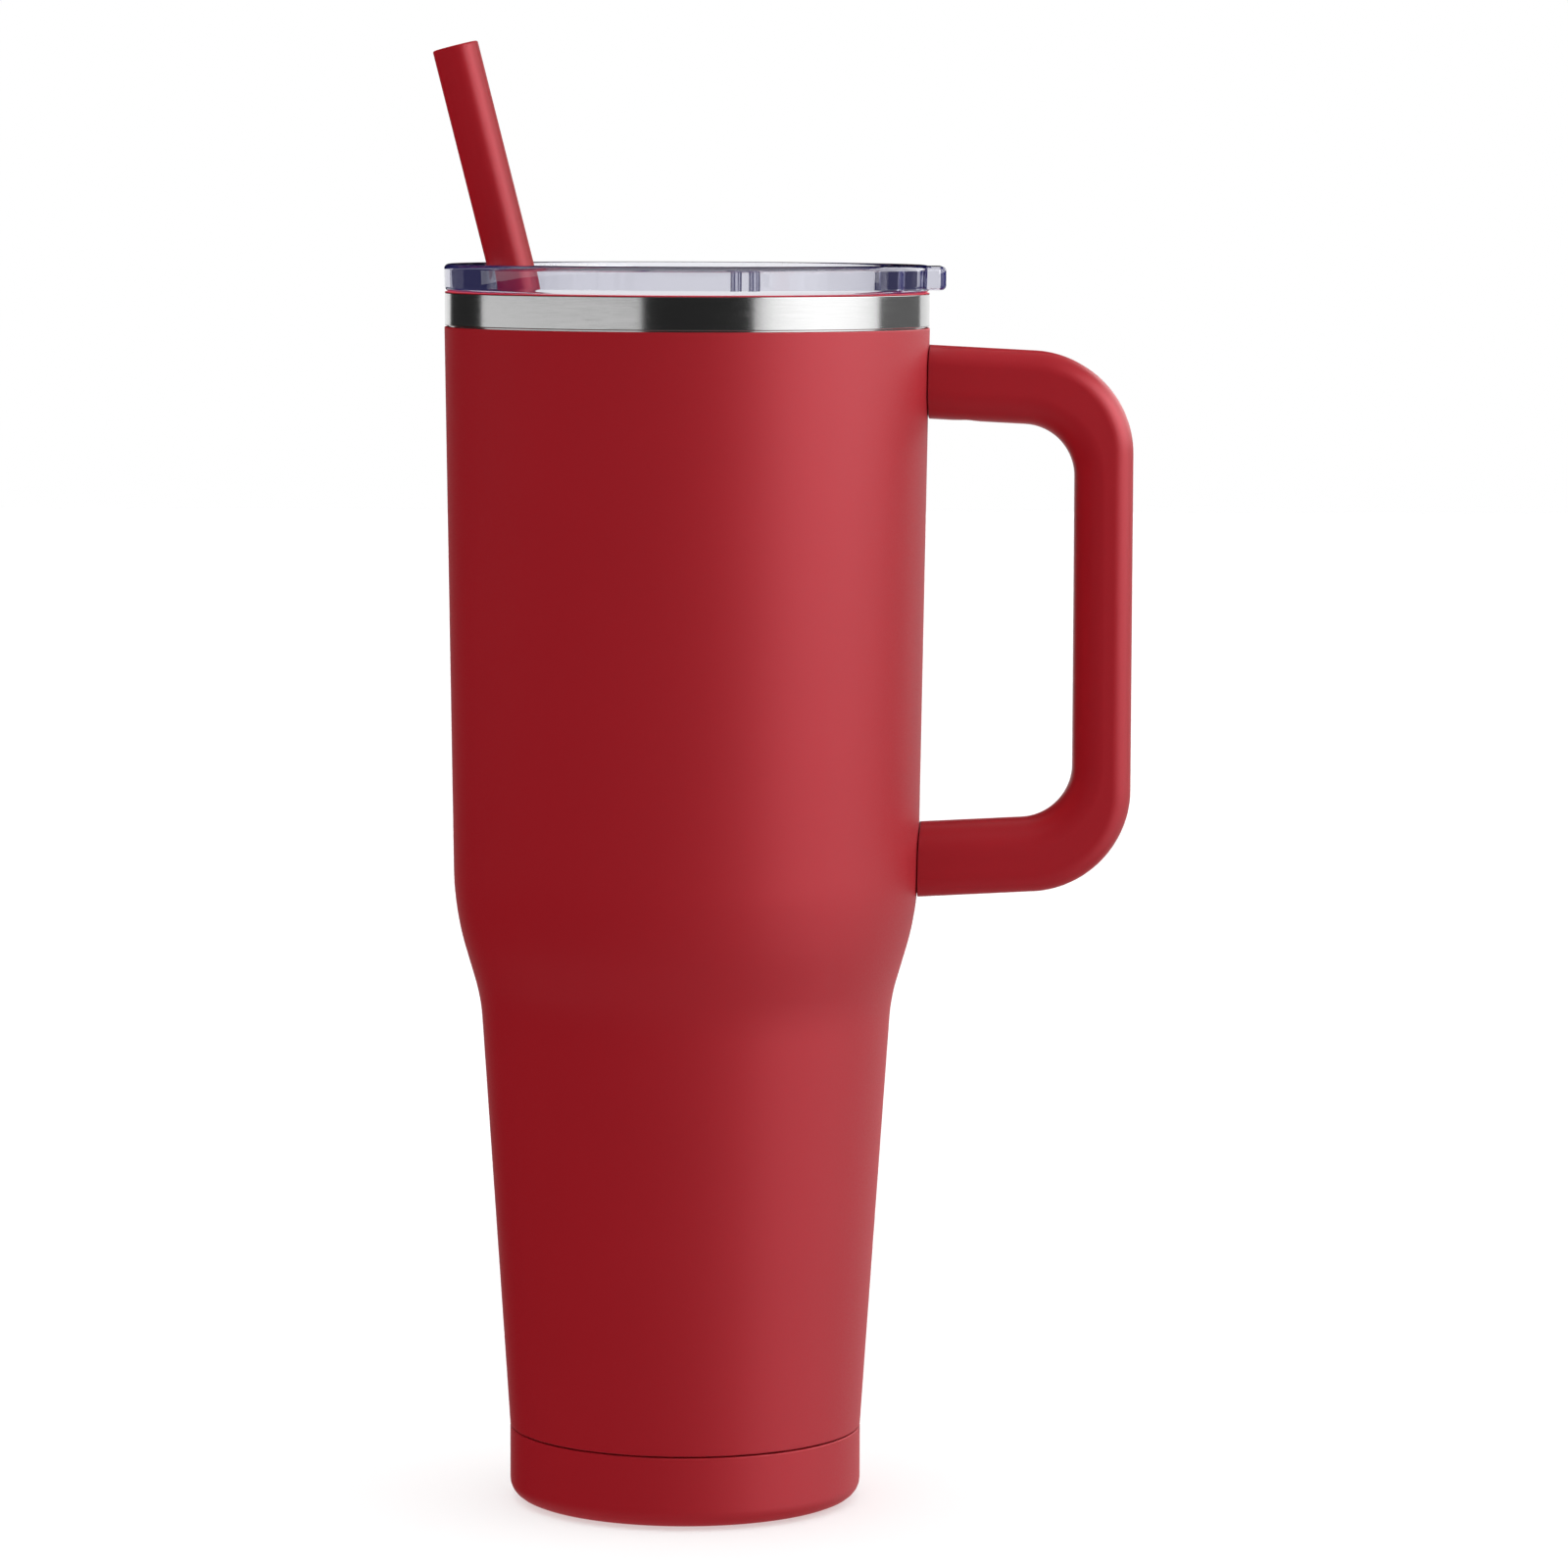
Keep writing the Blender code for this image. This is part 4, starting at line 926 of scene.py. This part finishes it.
class TRAVELMUG_OT_lid(bpy.types.Operator):
    """Mould the clear lid: flange, deck, skirt, lift tab, slider guide and openings"""

    bl_idname = "travel_mug.lid"
    bl_label = "Clear Lid"

    def execute(self, context):
        scene = context.scene
        lid, straw, finishes = scene.mug_lid, scene.mug_straw, scene.mug_finishes
        top = lid.top
        seat = top - lid.flange_height
        deck = top - lid.recess_depth
        deck_bottom = deck - lid.deck_wall
        flange = lid.flange_diameter / 2
        recess = lid.recess_diameter / 2
        skirt = lid.skirt_diameter / 2
        skirt_inner = skirt - lid.skirt_wall
        bead = skirt + FIT_GAP + lid.gasket_wall / 2
        bead_height = 0.0012
        bead_bottom, bead_top = LID_LOW.z, LID_LOW.z + bead_height
        deck_round, deck_under_round = 0.0008, 0.0006
        bead_edge, skirt_edge = 0.0003, 0.0004
        profile = [
            (recess, deck, deck_round),
            (recess + lid.recess_draft, top, lid.flange_round),
            (flange, top, lid.flange_round),
            (flange - lid.flange_draft, seat, lid.flange_round),
            (skirt, seat, 0),
            (skirt, bead_top, 0),
            (bead, bead_top, SOFT_EDGE),
            (bead, bead_bottom, bead_edge),
            (skirt_inner, bead_bottom, skirt_edge),
            (skirt_inner, deck_bottom, deck_under_round),
        ]
        piece = turn_piece("clear_lid", profile, CLEAR_STEPS, solid=True)

        half_tab = lid.tab_width / 2
        tab_lift, tab_drop = 0.0006, 0.0002
        tab_root = recess + lid.recess_draft + lid.flange_round
        tab_low = (tab_root, -half_tab, seat + tab_lift)
        tab_high = (flange + lid.tab_reach, half_tab, top - tab_drop)
        tab = plate("lift_tab", tab_low, tab_high, corner=0.0022, edge_round=0.0010)

        rail_inner = lid.slider_width / 2 + FIT_GAP
        rail_outer = rail_inner + lid.rail_wall
        lip_inner = lid.slider_body_width / 2 + FIT_GAP
        lip_bottom = SLIDER_LOW.z + lid.slider_flange + FIT_GAP
        rail_top = lip_bottom + lid.rail_lip
        stop = SLIDER_LOW.x - lid.slider_travel - FIT_GAP
        foot = deck - lid.deck_wall / 2
        rail_end = math.sqrt(((recess + skirt) / 2) ** 2 - rail_outer**2)
        rail_low = (stop - lid.rail_wall, rail_inner, foot)
        rail = block("slider_rail", rail_low, (rail_end, rail_outer, rail_top))
        bpy.ops.mesh.bisect(plane_co=(0, 0, lip_bottom), plane_no=(0, 0, 1))
        pick("FACE", lambda face: face.normal.y < -0.9 and face.calc_center_median().z > lip_bottom)
        draw_out((0, lip_inner - rail_inner, 0))
        tidy_mesh()
        apply(rail, "MIRROR", use_axis=(False, True, False))
        half_stop = rail_inner + lid.rail_wall / 2
        stop_low = (stop - lid.rail_wall, -half_stop, foot)
        stop_bar = block("slider_stop", stop_low, (stop, half_stop, rail_top))
        tidy_mesh()
        combine(piece, "UNION", [tab, rail, stop_bar])

        rim = 0.0004
        cut_low, cut_high = deck_bottom + rim, deck - rim
        sip_inset = 0.0034
        half_sip = lid.sip_width / 2
        arc_gap = 0.00005
        sip_x = SLIDER_HIGH.x - sip_inset - half_sip
        sip_low = (sip_x - half_sip, -lid.sip_length / 2, cut_low)
        sip_high = (sip_x + half_sip, lid.sip_length / 2, cut_high)
        sip = plate("sip_opening", sip_low, sip_high, half_sip - arc_gap, 0, corner_steps=16)
        flare(sip, (sip_x, 0), cut_low, cut_high, rim)
        middle_z = (deck + deck_bottom) / 2
        slant = math.tan(straw.lean)
        straw_room = 0.0006
        hole_x = straw.foot_x - (middle_z - straw.foot_z) * slant
        straw_reach = straw.diameter / 2 / math.cos(straw.lean)
        hole = straw_reach + lid.deck_wall / 2 * slant + straw_room
        port = bar("straw_port", hole, cut_low, cut_high, (hole_x, 0), segments=64)
        tidy_mesh()
        flare(port, (hole_x, 0), cut_low, cut_high, rim)
        combine(piece, "DIFFERENCE", [sip, port])
        clear = clear_plastic("clear lid plastic", finishes, roughness=0.012)
        finish(piece, clear, "lid", ["lid"], crease=40)
        piece.visible_shadow = False
        return {"FINISHED"}


class TRAVELMUG_OT_gasket(bpy.types.Operator):
    """Turn the silicone gasket with its sealing fins"""

    bl_idname = "travel_mug.gasket"
    bl_label = "Gasket"

    def execute(self, context):
        scene = context.scene
        vessel, lid, finishes = scene.mug_vessel, scene.mug_lid, scene.mug_finishes
        inner = lid.skirt_diameter / 2 + FIT_GAP
        sleeve = inner + lid.gasket_wall
        fin = sleeve + lid.fin_reach
        low = GASKET_LOW.z
        flange_bottom = vessel.lip_top + TOUCH_GAP
        high = flange_bottom + lid.gasket_flange
        flange = vessel.rim_diameter / 2 - vessel.band_inset
        flange_edge, fin_edge = 0.0001, 0.0003
        half_fin = 0.0009
        profile = [
            (sleeve, low, 0),
            (inner, low, 0),
            (inner, high, 0),
            (flange, high, flange_edge),
            (flange, flange_bottom, flange_edge),
            (sleeve, flange_bottom, 0),
        ]
        spacing = (flange_bottom - low) / 3
        for number in (2, 1):
            middle = low + spacing * number
            profile.append((sleeve, middle + half_fin, SOFT_EDGE))
            profile.append((fin, middle, fin_edge))
            profile.append((sleeve, middle - half_fin, SOFT_EDGE))
        piece = turn_piece("silicone_gasket", profile, TURN_STEPS, solid=False, rounding_steps=3)
        silicone = grained("red silicone", finishes.silicone)
        sockets = silicone.node_tree.nodes["Principled BSDF"].inputs
        sockets["Subsurface Weight"].default_value = 0.15
        sockets["Subsurface Scale"].default_value = 0.001
        finish(piece, silicone, "lid", ["lid_gasket"])
        return {"FINISHED"}


class TRAVELMUG_OT_slider(bpy.types.Operator):
    """Mould the slide closure with its thumb ribs"""

    bl_idname = "travel_mug.slider"
    bl_label = "Slide Closure"

    def execute(self, context):
        lid, finishes = context.scene.mug_lid, context.scene.mug_finishes
        bottom = SLIDER_LOW.z
        inner = SLIDER_LOW.x
        end = SLIDER_HIGH.x
        half = lid.slider_width / 2
        body_half = lid.slider_body_width / 2
        flange_top = bottom + lid.slider_flange
        body_top = flange_top + FIT_GAP + lid.rail_lip
        uncut_end = end + 0.005
        corner, body_edge = 0.002, 0.0003
        body_inset, rib_root = 0.0001, 0.0007
        low, high = (inner, -half, bottom), (uncut_end, half, flange_top)
        piece = plate("slide_closure", low, high, corner, SOFT_EDGE)
        low = (inner + body_inset, -body_half, bottom + lid.slider_flange / 2)
        high = (uncut_end, body_half, body_top)
        body = plate("slider_body", low, high, corner, body_edge)
        half_rib = lid.rib_thickness / 2
        rib_x = inner + lid.rib_inset
        low = (rib_x - half_rib, -lid.rib_width / 2, body_top - rib_root)
        high = (rib_x + half_rib, lid.rib_width / 2, SLIDER_HIGH.z)
        ribs = plate("thumb_ribs", low, high, half_rib * 0.95, body_edge)
        step = {"use_relative_offset": False, "use_constant_offset": True}
        apply(ribs, "ARRAY", count=2, constant_offset_displace=(lid.rib_pitch, 0, 0), **step)
        combine(piece, "UNION", [body, ribs])
        # The outer end follows the round of the recess.
        rounding = [(end, bottom - PASS_THROUGH, 0), (end, lid.top + PASS_THROUGH, 0)]
        rounding = turn_piece("slider_end", rounding, CLEAR_STEPS, solid=True)
        combine(piece, "INTERSECT", [rounding])
        frosted = clear_plastic("clear slider plastic", finishes, roughness=0.03)
        finish(piece, frosted, "slider", ["lid_slider"], crease=40)
        piece.visible_shadow = False
        return {"FINISHED"}


class TRAVELMUG_OT_straw(bpy.types.Operator):
    """Draw the straw and lean it in its hole"""

    bl_idname = "travel_mug.straw"
    bl_label = "Straw"

    def execute(self, context):
        straw, finishes = context.scene.mug_straw, context.scene.mug_finishes
        radius = straw.diameter / 2
        bore = radius - straw.wall
        edge = straw.edge_round
        top = straw.long
        profile = [(bore, 0, edge), (radius, 0, edge), (radius, top, edge), (bore, top, edge)]
        piece = turn_piece("red_straw", profile, segments=64, solid=False, rounding_steps=4)
        edit(piece)
        turn(-straw.lean, "Y")
        move((straw.foot_x, 0, straw.foot_z))
        tidy_mesh()
        red = grained("red straw plastic", finishes.straw, rim=0.05)
        finish(piece, red, "straw", ["straw"])
        return {"FINISHED"}


class TRAVELMUG_OT_inner_parts(bpy.types.Operator):
    """Give the pieces inside the walls and the handle their finishes"""

    bl_idname = "travel_mug.inner_parts"
    bl_label = "Inner Parts"

    def execute(self, context):
        finishes = context.scene.mug_finishes
        stamped = brushed("stamped steel", finishes.steel)
        screw = brushed("screw steel", finishes.steel)
        chosen = {
            "heat_shield_foil": brushed("copper foil", finishes.copper),
            "base_plate": stamped,
            "seal_bead": grained("glass solder", finishes.solder),
            "getter": grained("getter metal", finishes.getter),
            "handle_bracket_upper": stamped,
            "handle_bracket_lower": stamped,
            "handle_screw_upper": screw,
            "handle_screw_lower": screw,
        }
        for node, material in chosen.items():
            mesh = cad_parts[node].data
            mesh.materials.clear()
            mesh.materials.append(material)
        return {"FINISHED"}


class TRAVELMUG_OT_studio(bpy.types.Operator):
    """Set up the floor, the light, the dark cards that the steel mirrors, and the camera"""

    bl_idname = "travel_mug.studio"
    bl_label = "Studio"

    def execute(self, context):
        scene = context.scene
        studio = scene.mug_studio
        scene.view_settings.view_transform = "Standard"
        self.paint_world(scene)
        self.lay_floor(studio)
        self.stand_cards(studio)
        self.stand_softbox(studio)
        self.hang_lamps(studio)
        self.place_camera(scene, studio)
        return {"FINISHED"}

    def seen(self, tree):
        """1 for a ray that shows the background: to the camera, mirrored or through plastic."""
        path = wire(tree, "LightPath").outputs
        either = reckon(tree, "MAXIMUM", path["Is Camera Ray"], path["Is Glossy Ray"])
        return reckon(tree, "MAXIMUM", either, path["Is Transmission Ray"])

    def paint_world(self, scene):
        """A background that is white to look at and gives no light of its own."""
        world = bpy.data.worlds.new("white studio")
        scene.world = world
        world.use_nodes = True
        tree = world.node_tree
        tree.nodes.clear()
        white = {"Color": (1, 1, 1, 1), "Strength": self.seen(tree)}
        wire(tree, "OutputWorld", {"Surface": result(tree, "Background", white)})

    def lay_floor(self, studio):
        """A pale floor that glows to the camera, so that only the mug's shadow shows on it."""
        deselect()
        bpy.ops.mesh.primitive_plane_add(size=8)
        floor = start("floor")
        bpy.ops.mesh.subdivide(number_cuts=3)
        bpy.ops.object.mode_set(mode="OBJECT")
        material, tree, shader = blank_material("pale floor")
        shader.inputs["Base Color"].default_value = (*studio.floor, 1.0)
        shader.inputs["Roughness"].default_value = 0.9
        shader.inputs["Specular IOR Level"].default_value = 0.0
        shader.inputs["Emission Color"].default_value = (1, 1, 1, 1)
        glow = reckon(tree, "MULTIPLY", self.seen(tree), studio.floor_glow)
        tree.links.new(glow, shader.inputs["Emission Strength"])
        floor.data.materials.append(material)
        floor.visible_diffuse = False
        floor.visible_glossy = False
        floor.visible_shadow = False

    def hide_card(self, card, strength, fade=0.0, through=False):
        """Gives a card its glow and shows it only in mirrors, or only through clear plastic.

        Fade is the part of the glow that is gone at the card's sides.
        """
        deselect()
        material, tree, shader = blank_material(f"glow of {card.name}")
        tree.nodes.remove(shader)
        place = wire(tree, "TexCoord").outputs["UV"]
        across = wire(tree, "SeparateXYZ", {0: place}).outputs["X"]
        aside = reckon(tree, "SUBTRACT", across, 0.5)
        squared = reckon(tree, "MULTIPLY", aside, aside)
        bright = reckon(tree, "MULTIPLY_ADD", squared, -4 * fade * strength, strength)
        glow = result(tree, "Emission", {"Color": (1, 1, 1, 1), "Strength": bright})
        tree.links.new(glow, tree.nodes["Material Output"].inputs["Surface"])
        card.data.materials.append(material)
        card.visible_camera = False
        card.visible_diffuse = False
        card.visible_shadow = False
        card.visible_glossy = not through
        card.visible_transmission = through

    def stand_card(self, name, left, right, low, high, distance):
        """An upright card between two headings, in degrees from the camera's side to the right."""
        deselect()
        bpy.ops.mesh.primitive_plane_add(size=1)
        card = start(name)
        half_angle = math.radians(right - left) / 2
        stretch((2 * distance * math.tan(half_angle), high - low, 1))
        turn(math.pi / 2, "X")
        move((0, -distance, (high + low) / 2))
        turn(math.radians(left + right) / 2, "Z")
        return card

    def lay_card(self, name, height):
        """A round card that lies level at this height."""
        deselect()
        bpy.ops.mesh.primitive_circle_add(vertices=48, radius=1.1, fill_type="NGON")
        card = start(name)
        move((0, 0, height))
        return card

    def stand_cards(self, studio):
        """What the steel and the clear lid show: cards, and a dark tent with a bright slit."""
        black, grey = 0.03, 0.17
        for name, left, right, strength, fade, through in (
            ("front_card", -20, 31.5, black, 0.0, False),
            ("left_card", -149.5, -111, black, 0.0, False),
            ("right_card", 101.8, 144, grey, 0.0, False),
            ("softbox_strip", 35, 101.5, studio.strip, SOFTBOX_FADE, False),
            ("left_shade", -166, -78, black, 0.0, True),
            ("right_shade", 78, 155, black, 0.0, True),
        ):
            card = self.stand_card(name, left, right, low=0.002, high=1.0, distance=1.0)
            self.hide_card(card, strength, fade, through)
        bottom, top = -0.6, 1.3
        deselect()
        bpy.ops.mesh.primitive_cylinder_add(vertices=48, radius=1.15, depth=top - bottom)
        tent = start("tent")
        move((0, 0, (top + bottom) / 2))
        for height in (studio.slit_low, studio.slit_high):
            bpy.ops.mesh.select_all(action="SELECT")
            bpy.ops.mesh.bisect(plane_co=(0, 0, height), plane_no=(0, 0, 1))
        pick("FACE", lambda face: studio.slit_low < face.calc_center_median().z < studio.slit_high)
        bpy.ops.mesh.delete(type="FACE")
        self.hide_card(tent, 0.0)

    def stand_softbox(self, studio):
        """What a satin surface shows: a softbox beside the slit, a ceiling and a ground."""
        margin = 0.03
        above, below = (studio.slit_high + margin, 1.0), (-0.5, studio.slit_low - margin)
        upper, lower = studio.softbox_upper, studio.softbox_lower
        for name, left, right, heights, strength, fade in (
            ("softbox_upper", 35, 103, above, upper, SOFTBOX_FADE),
            ("softbox_lower", 35, 103, below, lower, SOFTBOX_FADE),
            ("softbox_side_upper", 103, 155, above, upper / 2, 0.0),
            ("softbox_side_lower", 103, 155, below, lower / 2, 0.0),
            ("back_card", 150, 210, below, 0.8, 0.8),
        ):
            card = self.stand_card(name, left, right, *heights, distance=0.95)
            self.hide_card(card, strength, fade)
        self.hide_card(self.lay_card("ceiling_card", 1.25), studio.ceiling)
        self.hide_card(self.lay_card("ground_card", -0.55), studio.ground)

    def hang_lamp(self, name, kind, energy, rise, heading=0, **settings):
        """A soft light from this heading and rise, in degrees, that shows in no surface."""
        heading, rise = math.radians(heading), math.radians(rise)
        level = math.cos(rise)
        way = Vector((math.sin(heading) * level, -math.cos(heading) * level, math.sin(rise)))
        mug_middle = Vector((0, 0, 0.14))
        deselect()
        bpy.ops.object.light_add(type=kind, location=mug_middle + way)
        lamp = bpy.context.object
        lamp.name = name
        lamp.rotation_mode = "QUATERNION"
        lamp.rotation_quaternion = way.to_track_quat("Z", "Y")
        lamp.data.energy = energy
        for label, value in settings.items():
            setattr(lamp.data, label, value)
        lamp.data.cycles.use_multiple_importance_sampling = False
        lamp.visible_camera = False
        lamp.visible_glossy = False
        lamp.visible_transmission = False

    def hang_lamps(self, studio):
        """An even light from above and its bounce from below, and a softbox on the right."""
        wide = math.radians(150)
        self.hang_lamp("dome_light", "SUN", studio.dome_power, rise=90, angle=wide)
        self.hang_lamp("bounce_light", "SUN", studio.bounce_power, rise=-90, angle=wide)
        shape = {"shape": "RECTANGLE", "size": 1.0, "size_y": 1.1}
        self.hang_lamp("key_light", "AREA", studio.key_power, rise=16, heading=80, **shape)

    def place_camera(self, scene, studio):
        """The camera where the photo's perspective puts it."""
        place = (0.02046, -1.27259, 0.27513)
        tilt, roll = math.radians(84.45), math.radians(0.2)
        deselect()
        bpy.ops.object.camera_add()
        camera = bpy.context.object
        camera.name = "photo_camera"
        camera.data.sensor_width = 36.0
        camera.data.lens = studio.lens
        camera.data.clip_start = 0.05
        camera.matrix_world = (
            Matrix.Translation(place)
            @ Matrix.Rotation(tilt, 4, "X")
            @ Matrix.Rotation(roll, 4, "Z")
        )
        scene.camera = camera
        deselect()


class TRAVELMUG_PT_panel(bpy.types.Panel):
    """The mug's sizes, colours and pieces"""

    bl_idname = "TRAVELMUG_PT_panel"
    bl_label = "Insulated Travel Mug"
    bl_space_type = "VIEW_3D"
    bl_region_type = "UI"
    bl_category = "Mug"

    def draw(self, context):
        layout = self.layout
        for operator in OPERATORS:
            layout.operator(operator.bl_idname)
        for label, kind in SETTINGS.items():
            box = layout.box()
            box.label(text=kind.__doc__)
            group = getattr(context.scene, label)
            for name in kind.__annotations__:
                box.prop(group, name)


SETTINGS = {
    "mug_vessel": VesselSizes,
    "mug_handle": HandleSizes,
    "mug_lid": LidSizes,
    "mug_straw": StrawSizes,
    "mug_finishes": Finishes,
    "mug_studio": StudioSettings,
}
OPERATORS = (
    TRAVELMUG_OT_studio,
    TRAVELMUG_OT_shell,
    TRAVELMUG_OT_liner,
    TRAVELMUG_OT_boot,
    TRAVELMUG_OT_pad,
    TRAVELMUG_OT_handle,
    TRAVELMUG_OT_plugs,
    TRAVELMUG_OT_lid,
    TRAVELMUG_OT_gasket,
    TRAVELMUG_OT_slider,
    TRAVELMUG_OT_straw,
    TRAVELMUG_OT_inner_parts,
)
CLASSES = (*SETTINGS.values(), *OPERATORS, TRAVELMUG_PT_panel)


def register():
    for kind in CLASSES:
        bpy.utils.register_class(kind)
    for label, kind in SETTINGS.items():
        setattr(bpy.types.Scene, label, bpy.props.PointerProperty(type=kind))


def unregister():
    for label in SETTINGS:
        delattr(bpy.types.Scene, label)
    for kind in reversed(CLASSES):
        bpy.utils.unregister_class(kind)


def main():
    register()
    bpy.ops.travel_mug.studio()
    bpy.ops.travel_mug.shell()
    bpy.ops.travel_mug.liner()
    bpy.ops.travel_mug.boot()
    bpy.ops.travel_mug.pad()
    bpy.ops.travel_mug.handle()
    bpy.ops.travel_mug.plugs()
    bpy.ops.travel_mug.lid()
    bpy.ops.travel_mug.gasket()
    bpy.ops.travel_mug.slider()
    bpy.ops.travel_mug.straw()
    bpy.ops.travel_mug.inner_parts()


if __name__ == "__main__":
    main()
